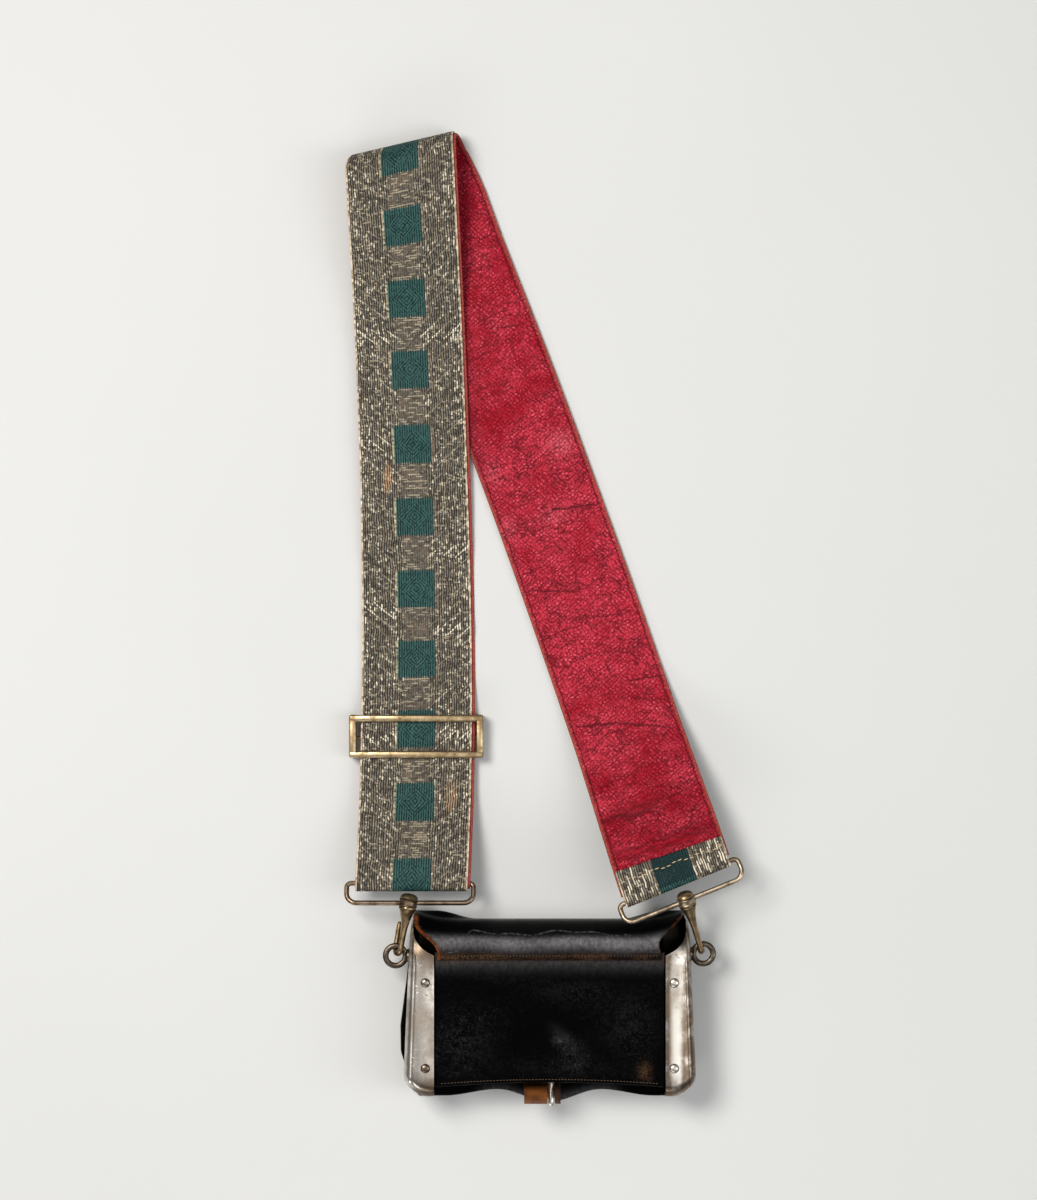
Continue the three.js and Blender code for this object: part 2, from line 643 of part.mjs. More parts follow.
// One leg of the belt in plan, from the bar of its loop to the fold.
function leg(side, spec, widths, heading, skew) {
  const { across, bar } = loopFrame(side);
  const start = new THREE.Vector2(bar.x + spec.shift * across.x, bar.y + spec.shift * across.y);
  const foldAxis = new THREE.Vector2(Math.cos(radians(FOLD_TURN)), Math.sin(radians(FOLD_TURN)));
  const quarter = (Math.PI / 2) * FOLD_RADIUS * Math.sin(skew);
  const end = new THREE.Vector2(
    FOLD_TOP.x + FOLD_RADIUS * foldAxis.y - quarter * foldAxis.x,
    FOLD_TOP.y - FOLD_RADIUS * foldAxis.x - quarter * foldAxis.y,
  );
  const handle = start.distanceTo(end) / 3;
  const away = (degrees) => new THREE.Vector2(-Math.sin(radians(degrees)), Math.cos(radians(degrees)));
  const curve = new THREE.CubicBezierCurve(
    start,
    start.clone().addScaledVector(away(spec.heading), handle),
    end.clone().addScaledVector(away(heading), -handle),
    end,
  );
  const length = curve.getLength();
  const startSkew = radians(side.loopTurn - spec.heading);
  return { curve, length, barZ: bar.z, skew, startSkew, spec, widths };
}

const skewAngle = radians(FOLD_SKEW);
const legs = {
  left: leg(SIDES[0], LEFT_LEG, LEFT_WIDTHS, FOLD_TURN - FOLD_SKEW, skewAngle),
  right: leg(SIDES[1], RIGHT_LEG, RIGHT_WIDTHS, FOLD_TURN + FOLD_SKEW, -skewAngle),
};

// A station of the belt: a point of the seam between lace and lining, and the belt's width direction.
function station(belt, along, height) {
  const share = THREE.MathUtils.clamp(along / belt.length, 0, 1);
  const at = belt.curve.getPointAt(share);
  const tangent = belt.curve.getTangentAt(share);
  at.addScaledVector(tangent, along - share * belt.length);
  const { squareLength, squareFade, skewLength } = belt.spec;
  const skew = belt.skew * smooth(1 - (belt.length - along) / skewLength)
    + belt.startSkew * (1 - smooth((along - squareLength) / squareFade));
  const angle = Math.atan2(tangent.y, tangent.x) - Math.PI / 2 + skew;
  const stretch = 1 / Math.cos(skew);
  const width = {
    lace: lookUp(belt.widths, "along", "lace", along),
    lining: lookUp(belt.widths, "along", "lining", along),
    liningShift: lookUp(belt.widths, "along", "liningShift", along),
  };
  return { at: vec(at.x, at.y, height), across: vec(Math.cos(angle), Math.sin(angle), 0), stretch, width };
}

// Heights of the seam line along a leg, level at each row and smooth between.
function heightAt(table, along) {
  const next = Math.max(table.findIndex((row) => row.along >= along), 1);
  const low = table[next - 1];
  const high = table[next];
  const share = smooth((along - low.along) / (high.along - low.along));
  return THREE.MathUtils.lerp(low.height, high.height, share);
}

const overLining = LINING_ON_FLOOR + SEWN_GAP;
const loopWrap = LOOP.wire + SEAT + LINING + SEWN_GAP / 2;
const laceWrap = LOOP.wire + SEAT - SEWN_GAP / 2;
const sliderWrap = SLIDER_CENTRE_BAR.radius + SEAT - SEWN_GAP / 2;
const foldTopZ = LACE_ON_FLOOR + 2 * FOLD_RADIUS;
const onLowerLeg = LACE_ON_FLOOR + LINING_ON_FLOOR + SEAT + LINING_ON_FLOOR;
const overTail = SLIDER_CENTRE_BAR.z + sliderWrap + LACE_ON_FLOOR + SEAT + LINING_ON_FLOOR;

const LEFT_HEIGHTS = [
  { along: 0, height: legs.left.barZ + loopWrap },
  { along: SLIDER_AT - 22, height: overTail },
  { along: SLIDER_AT + 2, height: overTail + 0.1 },
  { along: SLIDER_AT + 32, height: LINING_ON_FLOOR },
  { along: 146, height: LINING_ON_FLOOR },
  { along: 200, height: onLowerLeg + 0.2 },
  { along: 262, height: onLowerLeg + 0.8 },
  { along: legs.left.length, height: foldTopZ },
];
const TAIL_HEIGHTS = [
  { along: 0, height: legs.left.barZ - loopWrap },
  { along: SLIDER_AT - 26, height: LACE_ON_FLOOR },
  { along: SLIDER_AT, height: LACE_ON_FLOOR },
];
const RIGHT_HEIGHTS = [
  { along: 0, height: legs.right.barZ - laceWrap },
  { along: 112, height: LACE_ON_FLOOR },
  { along: legs.right.length, height: LACE_ON_FLOOR },
];

// Distances along a leg, with the rows of its table among them.
function distances(table) {
  return table.slice(1).flatMap((row, i) => {
    const from = table[i].along;
    const steps = Math.ceil((row.along - from) / STATION_STEP);
    const first = i === 0 ? 0 : 1;
    return Array.from({ length: steps + 1 - first }, (unused, step) => (
      from + ((row.along - from) * (step + first)) / steps
    ));
  });
}

const run = (belt, table) => distances(table).map((along) => station(belt, along, heightAt(table, along)));

// Half a turn of the belt round a bar at the end of a leg, from one angle to the other.
function turn(belt, along, z, radius, from, to, steps) {
  return Array.from({ length: steps - 1 }, (unused, i) => {
    const angle = radians(THREE.MathUtils.lerp(from, to, (i + 1) / steps));
    return station(belt, along + radius * Math.cos(angle), z + radius * Math.sin(angle));
  });
}

// The belt's fold: half a turn about an axis that is skew to both legs.
function fold() {
  const axis = vec(Math.cos(radians(FOLD_TURN)), Math.sin(radians(FOLD_TURN)), 0);
  const outward = vec(-axis.y, axis.x, 0);
  const top = vec(FOLD_TOP.x, FOLD_TOP.y, 0).addScaledVector(outward, -FOLD_RADIUS);
  const steps = 10;
  return Array.from({ length: steps - 1 }, (unused, i) => {
    const angle = Math.PI / 2 - (Math.PI * (i + 1)) / steps;
    const at = top.clone()
      .addScaledVector(outward, FOLD_RADIUS * Math.cos(angle))
      .addScaledVector(axis, -FOLD_RADIUS * angle * Math.sin(skewAngle));
    at.z = LACE_ON_FLOOR + FOLD_RADIUS * (1 + Math.sin(angle));
    const width = LEFT_WIDTHS[LEFT_WIDTHS.length - 1];
    return { at, across: axis, stretch: 1 / Math.cos(skewAngle), width };
  });
}

// The hem over the lining at the right end, and the one in the slider at the left end.
function rightHem() {
  return [0, 2.5, 5, 8, HEM_LENGTH].map((along) => {
    const opening = (2 * laceWrap - overLining) * (1 - smooth(along / 8));
    return station(legs.right, along, heightAt(RIGHT_HEIGHTS, along) + overLining + opening);
  });
}

function sliderHem() {
  const level = SLIDER_CENTRE_BAR.z + sliderWrap;
  return [SLIDER_HEM, SLIDER_HEM / 2, 0].map((back) => station(legs.left, SLIDER_AT - back, level));
}

const bodyOfBelt = [
  ...turn(legs.left, 0, legs.left.barZ, loopWrap, 270, 90, 8),
  ...run(legs.left, LEFT_HEIGHTS),
  ...fold(),
];
const rightRun = run(legs.right, RIGHT_HEIGHTS).reverse();
const tailRun = run(legs.left, TAIL_HEIGHTS).reverse();

const laceStations = [
  ...sliderHem(),
  ...turn(legs.left, SLIDER_AT, SLIDER_CENTRE_BAR.z, sliderWrap, 90, -90, 6),
  ...tailRun,
  ...bodyOfBelt,
  ...rightRun,
  ...turn(legs.right, 0, legs.right.barZ, laceWrap, 270, 90, 6),
  ...rightHem(),
];
const liningStations = [
  station(legs.left, SLIDER_AT - LINING_TAIL_GAP, LACE_ON_FLOOR),
  ...tailRun.slice(1),
  ...bodyOfBelt,
  ...rightRun.slice(0, -1),
  station(legs.right, LINING_END, heightAt(RIGHT_HEIGHTS, LINING_END)),
];

// A flat band along stations, between two offsets from the seam line towards the lace side.
function band(name, stations, reach, from, to, finish) {
  const normals = stations.map(({ across }, i) => {
    const before = stations[Math.max(i - 1, 0)].at;
    const after = stations[Math.min(i + 1, stations.length - 1)].at;
    return vec(0, 0, 0).crossVectors(across, after.clone().sub(before)).normalize();
  });
  const skin = (offset) => stations.map(({ at, across, stretch, width }, i) => [-1, 1].map((side) => (
    at.clone().addScaledVector(normals[i], offset).addScaledVector(across, reach(width, side) * stretch)
  )));
  return piece(name, slab(skin(to), skin(from)), finish);
}

// A frame with two bars over the belt, deep sides and a round bar below the belt between them.
function slider() {
  const { width, height, bar, post, barZ, barHeight } = SLIDER;
  const halfWidth = width / 2;
  const halfHeight = height / 2;
  const outline = new THREE.Shape();
  outline.moveTo(-halfWidth + SLIDER_CORNER, -halfHeight);
  outline.lineTo(halfWidth - SLIDER_CORNER, -halfHeight);
  outline.lineTo(halfWidth, -halfHeight + SLIDER_CORNER);
  outline.lineTo(halfWidth, halfHeight - SLIDER_CORNER);
  outline.lineTo(halfWidth - SLIDER_CORNER, halfHeight);
  outline.lineTo(-halfWidth + SLIDER_CORNER, halfHeight);
  outline.lineTo(-halfWidth, halfHeight - SLIDER_CORNER);
  outline.lineTo(-halfWidth, -halfHeight + SLIDER_CORNER);
  const window = new THREE.Path();
  window.moveTo(-halfWidth + post, -halfHeight + bar);
  window.lineTo(-halfWidth + post, halfHeight - bar);
  window.lineTo(halfWidth - post, halfHeight - bar);
  window.lineTo(halfWidth - post, -halfHeight + bar);
  outline.holes.push(window);
  const frame = new THREE.ExtrudeGeometry(outline, { depth: barHeight, bevelEnabled: false });
  frame.translate(0, 0, barZ);
  const postBottom = SLIDER_CENTRE_BAR.z - SLIDER_CENTRE_BAR.radius;
  const postTop = barZ + barHeight / 2;
  const posts = [-1, 1].map((side) => {
    const block = new THREE.BoxGeometry(post, height - 2 * SLIDER_CORNER, postTop - postBottom);
    block.translate(side * (halfWidth - post / 2), 0, (postTop + postBottom) / 2);
    return block;
  });
  const centre = new THREE.CylinderGeometry(
    SLIDER_CENTRE_BAR.radius, SLIDER_CENTRE_BAR.radius, width - post, 10,
  );
  centre.rotateZ(Math.PI / 2);
  centre.translate(0, 0, SLIDER_CENTRE_BAR.z);
  const mesh = piece("slider", joined(frame, ...posts, centre), "brass");
  const { at, across } = station(legs.left, SLIDER_AT, 0);
  mesh.position.copy(at);
  mesh.rotation.z = Math.atan2(across.y, across.x);
  return mesh;
}

const pouch = new THREE.Group();
pouch.add(backPanel(), caseWrap(), lid(), closingTab(), closingStud());
for (const side of SIDES) {
  pouch.add(endCap(side), eye(side));
  for (const row of RIVET_ROWS) {
    pouch.add(rivet(side, row));
  }
}

const belt = new THREE.Group();
const laceFrom = SEWN_GAP / 2;
const laceReach = (width, side) => side * width.lace;
const liningReach = (width, side) => side * width.lining + width.liningShift;
belt.add(
  band("belt_lace", laceStations, laceReach, laceFrom, laceFrom + LACE, "lace"),
  band("belt_lining", liningStations, liningReach, -laceFrom - LINING, -laceFrom, "redLeather"),
  slider(),
);
for (const side of SIDES) {
  belt.add(loop(side), hook(side));
}

const part = new THREE.Group();
part.add(pouch, belt);

export default part;
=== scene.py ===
"""A cartridge pouch with its shoulder belt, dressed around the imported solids.

Shapes are worked out in millimetres and written to the meshes in metres. The pouch lies on its lid, its top
points to +Y, and the belt is laid out above it and folded over once.
"""
import math

import bmesh
import bpy
import numpy as np
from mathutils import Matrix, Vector


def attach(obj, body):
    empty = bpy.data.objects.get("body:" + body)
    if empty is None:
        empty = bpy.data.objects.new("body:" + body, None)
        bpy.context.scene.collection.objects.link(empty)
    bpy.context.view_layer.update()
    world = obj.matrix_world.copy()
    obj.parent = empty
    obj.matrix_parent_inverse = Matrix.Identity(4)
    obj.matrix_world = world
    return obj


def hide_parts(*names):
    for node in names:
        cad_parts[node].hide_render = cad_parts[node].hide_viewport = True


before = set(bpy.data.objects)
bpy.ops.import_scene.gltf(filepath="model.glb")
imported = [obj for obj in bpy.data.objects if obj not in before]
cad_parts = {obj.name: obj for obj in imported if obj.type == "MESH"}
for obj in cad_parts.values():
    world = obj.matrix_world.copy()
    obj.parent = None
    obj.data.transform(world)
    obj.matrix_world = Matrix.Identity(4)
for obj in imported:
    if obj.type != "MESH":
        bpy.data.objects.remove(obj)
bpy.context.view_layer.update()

MM = 0.001

# Photograph: what one of its pixels covers on the floor, and the point that its middle shows
PHOTO_HEIGHT_PX = 1200
PIXEL_MM = 0.5
VIEW_CENTRE_MM = (-15.4, 199.4)
CAMERA_HEIGHT_MM = 2000
SENSOR_MM = 36

# Case and its end caps
CASE_HALF_WIDTH = 69.4
CASE_BOTTOM_Y = -45.6
CASE_TOP_Y = 42.5
CASE_BACK_Z = 34
CASE_FRONT_Z = 3
CASE_CORNER = 6.5
CASE_SHOULDER = 18
CAP_WALL = 1
CAP_RIM_X = 57
CAP_TOP_RIM_X = 67.4
CAP_EDGE_ROUND = 5
CAP_BOTTOM_ROUND = 12
CAP_SPLAY = 0.045
CAP_SPLAY_FROM_Y = 24
CAP_RIM_SWEEP = 6
CAP_CROWN = 0.4
CAP_GROOVE_X = 66.2
CAP_GROOVE_DEPTH = 0.45
RIVET_RADIUS = 2.2
RIVET_HEIGHT = 1.1
RIVET_X = 61.2
RIVET_ROWS = {"upper": 11.2, "lower": -30.9}

# Leather of the case
LEATHER = 2.2
SEAT = 0.3
PANEL_TOP_Y = 26
PANEL_BOTTOM_Y = -40.4
BOTTOM_BOW = 2.4
WRAP_BOTTOM_Y = -40.9
WRAP_FRONT_Z = 4.6
WRAP_HEM_Y = -31
WRAP_MOUTH_Y = 24
WRAP_BEND = 3.9
WRAP_HALF_WIDTH = 64

# Painted sheen streak of the back panel: its middle and the way it runs; brown spot: its middle and half
# sizes
SHEEN = (7.4, -16.4, 0.73, -0.68)
BROWN_SPOT = (46.8, -32.6, 3, 4.2)
# Faintly rubbed patches of the back panel, some of them painted sheen: middle, half sizes and strength
RUBBED_AND_SHEEN_PATCHES = [
    (11, 7, 21, 6, 0.025), (-43, -18, 13, 15, 0.04), (40, -10, 13, 13, 0.035), (-20, 16, 30, 4, 0.025),
    (4, -30, 26, 5, 0.02), (5.6, -16.4, 3.4, 2.6, 0.13), (9, -20, 5, 4, 0.07), (13.6, -26, 5, 6, 0.04),
]

# Lid: how far it reaches to each side, by the distance from its seam
LID_SEAM_Y = 22.5
LID_HINGE_RADIUS = 19.5
LID_FRONT_BEND = 8.4
LID_TOP_SAG = 4.2
LID_SAG_HALF_WIDTH = 56
LID_EDGE_Y = -45
LID_CORNER_DROP = 3.2
TONGUE_DEPTH = 6.2
TONGUE_HALF_WIDTH = 26
LID_ALONG = [0, 4, 6.5, 9, 11.5, 15, 18.5, 25, 38, 52, 75, 101, 114, 126, 132, 137]
LID_LEFT = [55.3, 55.4, 56.4, 58.6, 61.2, 64.8, 66.6, 67, 67, 68.6, 71, 74.4, 74.2, 70.4, 66, 61]
LID_RIGHT = [55, 54.6, 53.8, 53.9, 55.4, 58.6, 61.6, 65, 66.8, 68, 69.4, 70, 69.8, 68.2, 65, 61]

# Closing tab and stud
TAB_HALF_WIDTH = 9
TAB_LEATHER = 1.8
TAB_ROOT_Y = -26
TAB_FLARE_START_Z = 16
TAB_END_Y = -49
TAB_END_Z = 27.5
TAB_X = -3.6
TAB_SLIT_WIDTH = 3.6
TAB_SLIT_FROM_Z = 12
STUD_X = 0.7
STUD_Z = 17
STUD_RADII = [0, 3.4, 3.6, 3.6, 2.2, 1.3, 1.2, 1.25, 1.7, 1.9, 1.9, 1.6, 1, 0]
STUD_ALONG = [0, 0, 0.2, 0.8, 1.1, 1.6, 3, 7, 8, 9, 11.2, 12.4, 13, 13.2]

# Eyes, hooks and loops
EYE_RADIUS = 4.9
EYE_WIRE = 1.45
EYE_Z = 18.5
EYE_FOOT_RADIUS = 3.6
HOOK_WIRE = 1.35
HOOK_BEND = EYE_WIRE + HOOK_WIRE + 0.5
HOOK_RETURN = 12
HOOK_ALONG = [
    -4.75, -4.65, -4.35, -3.8, -3.2, -2.8, -2.5, -2.1, -2.1, 2.1, 2.1, 2.5, 3.1, 3.4, 5, 7, 9, 12, 15,
]
HOOK_RADII = [
    0.1, 1.4, 2.6, 3.55, 4.1, 4.25, 4.4, 4.3, 1.4, 1.4, 4.3, 4.4, 4.3, 3.9, 3.35, 2.75, 2.25, 1.75, 1.55,
]
BOSS_ALONG = [-1.8, -1.8, -1.5, -1.1, -0.8, 0.8, 1.1, 1.5, 1.8, 1.8]
BOSS_RADII = [1.75, 4.45, 4.7, 4.6, 4.35, 4.35, 4.6, 4.7, 4.45, 1.75]
LOOP_HALF_WIDTH = 31.45
LOOP_HEIGHT = 10.25
LOOP_WIRE = 1.25
LOOP_LOWER_CORNER = 5
LOOP_UPPER_CORNER = 2.4
SIDES = {
    "left": {
        "sign": -1, "eye_x": -76.3, "eye_y": 23.2, "seat": 17, "heading": -9.5, "roll": 24, "pitch": 0,
        "shank": 22.2, "turn": 0, "tilt": -22, "shift": 0.8,
    },
    "right": {
        "sign": 1, "eye_x": 76.1, "eye_y": 24.2, "seat": -22, "heading": 17.1, "roll": 0, "pitch": -18.6,
        "shank": 26.1, "turn": 22, "tilt": -16, "shift": -0.4,
    },
}

# Belt
LACE = 1
LACE_HALF_WIDTH = 27.75
LINING = 1.2
LINING_HALF_WIDTH = 28.6
SEWN_GAP = 0.3
LACE_ON_FLOOR = LACE + SEWN_GAP / 2
LINING_ON_FLOOR = LINING + SEWN_GAP / 2
FOLD_RADIUS = 9.5
FOLD_TOP = (-73.8, 425.3)
FOLD_TURN = 13.3
FOLD_SKEW = 10.4
# How far the left corner of the fold is drawn in
FOLD_CORNER = 2.6
LEFT_LEG = {"shift": 0.7, "heading": -2.6, "square_length": 84, "square_fade": 60, "skew_length": 92}
RIGHT_LEG = {"shift": -0.3, "heading": 18.2, "square_length": 0, "square_fade": 20, "skew_length": 60}
# Distance from the loop, half widths of lace and lining, and how far the lining lies off to the right
LEFT_WIDTHS = [(0, 27.75, 28.5, 0.6), (72, 27.7, 28.5, 0.7), (200, 26.7, 27.4, 0.9), (360, 26.9, 27.6, 0.6)]
RIGHT_WIDTHS = [
    (0, 27.75, 28.6, 0), (20, 27.7, 28.5, 0), (75, 26.8, 27.4, 0), (200, 26.5, 27.1, 0),
    (310, 26.8, 27.4, 0.1),
    (330, 26.8, 27.5, 0.3), (345, 26.9, 27.7, 0.75), (357, 26.9, 27.9, 1.1), (367, 26.9, 27.9, 1.15),
    (376, 26.9, 27.8, 0.95), (385, 26.9, 27.6, 0.6),
]
HEM_LENGTH = 14.5
LINING_END = 3
SLIDER_AT = 72.5
SLIDER_HEM = 12
LINING_TAIL_GAP = 3.2
SQUARES_ON_BELT = 22
FIRST_SQUARE_AT = 4
SQUARE_HALF_WIDTH = 9.6
SQUARE_HALF_HEIGHT = 9.4
RIB_PITCH = 1.2
# Pitch of the squares' upright threads and lozenge weave, and of the slanted lines
COMB_PITCH = 1.2
LOZENGE_PITCH = 1.9
SLANT_PITCH = 5.8
HEM_STITCH_PITCH = 3
CASE_STITCH_PITCH = 1.6
# The squares lie unevenly along the left leg: their places, and where an even pattern would have them
SQUARES_FROM = (1.8, 42, 78.2, 147.6, 183.5, 219.2, 256.6, 291.5, 328)
SQUARES_TO = (4, 39.3, 74.6, 145.2, 180.5, 215.8, 251.1, 286.4, 321.7)
# Bright bands of the lace: place along the belt, and the side of the belt (0 for both)
BRIGHT_BANDS = [(74, 0), (128, 1), (139, -1), (167, 1), (222, -1), (276, 0)]
# Worn peach-coloured spots: across, along, and their half sizes
WORN_SPOTS = [(18, 44, 3.2, 9), (-13.6, 204, 3.5, 8)]

# Slider
SLIDER_WIDTH = 66.8
SLIDER_HEIGHT = 21.4
SLIDER_BAR = 3.4
SLIDER_POST = 3.6
SLIDER_BAR_Z = 7.2
SLIDER_BAR_HEIGHT = 3
SLIDER_CENTRE_RADIUS = 0.8
SLIDER_CENTRE_Z = 2.1


def smooth(t):
    t = np.clip(t, 0, 1)
    return t * t * (3 - 2 * t)


def unit(vector):
    return vector / np.linalg.norm(vector)


def mixed(a, b, t):
    return a + (b - a) * t


def run_along(points):
    """Distance of each point of a line from its start, along the line."""
    return np.concatenate([[0], np.cumsum(np.linalg.norm(np.diff(points, axis=0), axis=1))])


def edge_samples(half_width, edge, step):
    """Positions across a sheet: even in the middle, close together where the edge is rounded."""
    rounded = edge * np.array([0, 0.04, 0.16, 0.4, 0.7, 1])
    inner = np.linspace(-half_width + edge, half_width - edge, max(int(2 * half_width / step), 2))
    return np.concatenate([-half_width + rounded[:-1], inner, half_width - rounded[:-1][::-1]])


def edge_profile(distance, edge):
    """Share of the full thickness at a distance from a rounded edge."""
    inset = np.clip(1 - distance / edge, 0, 0.995)
    return np.sqrt(1 - inset * inset)


def new_piece(name, vertices, faces, material, node, attributes=None, sharp=35):
    """A mesh piece in metres, with outward faces, that rides with the object and stands for a node."""
    mesh = bpy.data.meshes.new(name)
    mesh.from_pydata((np.asarray(vertices) * MM).tolist(), [], [list(map(int, face)) for face in faces])
    for key, values in (attributes or {}).items():
        layer = mesh.attributes.new(key, "FLOAT", "POINT")
        layer.data.foreach_set("value", np.asarray(values, dtype=np.float32).ravel())
    work = bmesh.new()
    work.from_mesh(mesh)
    bmesh.ops.recalc_face_normals(work, faces=work.faces)
    work.to_mesh(mesh)
    work.free()
    mesh.materials.append(material)
    mesh.shade_smooth()
    mesh.set_sharp_from_angle(angle=math.radians(sharp))
    piece = bpy.data.objects.new(name, mesh)
    bpy.context.scene.collection.objects.link(piece)
    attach(piece, "root")
    if node:
        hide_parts(node)
    return piece


def sheet_solid(points, normals, half, skip=None):
    """Vertices and faces of a sheet with thickness, with a wall round its rim and round skipped cells."""
    rows, columns = points.shape[:2]
    offset = normals * half[..., None]
    vertices = np.concatenate([(points + offset).reshape(-1, 3), (points - offset).reshape(-1, 3)])
    index = np.arange(rows * columns).reshape(rows, columns)
    under = rows * columns
    keep = np.ones((rows - 1, columns - 1), bool) if skip is None else ~skip
    corners = np.stack([index[:-1, :-1], index[:-1, 1:], index[1:, 1:], index[1:, :-1]], axis=-1)
    top = corners[keep]
    faces = [top, top[:, ::-1] + under]
    padded = np.pad(keep, 1)
    neighbours = [padded[:-2, 1:-1], padded[1:-1, 2:], padded[2:, 1:-1], padded[1:-1, :-2]]
    for side, neighbour in enumerate(neighbours):
        rim = corners[keep & ~neighbour]
        first = rim[:, side]
        second = rim[:, (side + 1) % 4]
        faces.append(np.stack([second, first, first + under, second + under], axis=-1))
    return vertices, np.concatenate(faces)


def ring_solid(rings, closed_ends=True):
    """Vertices and faces of a bar through closed rings of points."""
    rings = np.asarray(rings)
    count, sides = rings.shape[:2]
    index = np.arange(count * sides).reshape(count, sides)
    after = np.roll(index, -1, axis=1)
    quads = np.stack([index[:-1], after[:-1], after[1:], index[1:]], axis=-1).reshape(-1, 4)
    faces = [list(quad) for quad in quads]
    if closed_ends:
        faces.append(list(index[0][::-1]))
        faces.append(list(index[-1]))
    return rings.reshape(-1, 3), faces


def round_bar(centres, radii, sides):
    """Rings of a round bar along centres, each ring square to the bar."""
    centres = np.asarray(centres, float)
    tangents = np.gradient(centres, axis=0)
    side = np.array([0, 0, 1.0])
    if abs(unit(tangents[0])[2]) > 0.9:
        side = np.array([1.0, 0, 0])
    angles = np.linspace(0, 2 * math.pi, sides, endpoint=False)
    rings = []
    for centre, tangent, radius in zip(centres, tangents, radii):
        tangent = unit(tangent)
        side = unit(side - tangent * side.dot(tangent))
        other = np.cross(tangent, side)
        circle = np.cos(angles)[:, None] * side + np.sin(angles)[:, None] * other
        rings.append(centre + radius * circle)
    return rings


def lathe(base, axis, along, radii, sides):
    """Rings of a turned shape about an axis."""
    axis = unit(np.asarray(axis, float))
    side = unit(np.cross(axis, [0.3, 0.5, 0.8]))
    other = np.cross(axis, side)
    angles = np.linspace(0, 2 * math.pi, sides, endpoint=False)
    circle = np.cos(angles)[:, None] * side + np.sin(angles)[:, None] * other
    return [np.asarray(base) + axis * a + max(r, 0.01) * circle for a, r in zip(along, radii)]


def merged(parts):
    """Several bodies of vertices and faces as one."""
    vertices = []
    faces = []
    count = 0
    for part_vertices, part_faces in parts:
        vertices.append(np.asarray(part_vertices))
        faces.extend([[int(i) + count for i in face] for face in part_faces])
        count += len(part_vertices)
    return np.concatenate(vertices), faces


def soft_box(size, centre, bevel):
    """A box with rounded edges."""
    work = bmesh.new()
    bmesh.ops.create_cube(work, size=1)
    bmesh.ops.scale(work, vec=size, verts=work.verts)
    bmesh.ops.bevel(work, geom=work.edges[:], offset=bevel, segments=3, profile=0.5, affect="EDGES")
    bmesh.ops.translate(work, vec=centre, verts=work.verts)
    work.verts.index_update()
    vertices = np.array([vert.co[:] for vert in work.verts])
    faces = [[vert.index for vert in face.verts] for face in work.faces]
    work.free()
    return vertices, faces


# Materials


class Value:
    """A number that a material works out at each point, with the signs of arithmetic."""

    def __init__(self, graph, socket):
        self.graph = graph
        self.socket = socket

    def __add__(self, other):
        return self.graph.math("ADD", self, other)

    def __radd__(self, other):
        return self.graph.math("ADD", other, self)

    def __sub__(self, other):
        return self.graph.math("SUBTRACT", self, other)

    def __rsub__(self, other):
        return self.graph.math("SUBTRACT", other, self)

    def __mul__(self, other):
        return self.graph.math("MULTIPLY", self, other)

    def __rmul__(self, other):
        return self.graph.math("MULTIPLY", other, self)

    def __truediv__(self, other):
        return self.graph.math("DIVIDE", self, other)

    def __abs__(self):
        return self.graph.math("ABSOLUTE", self)


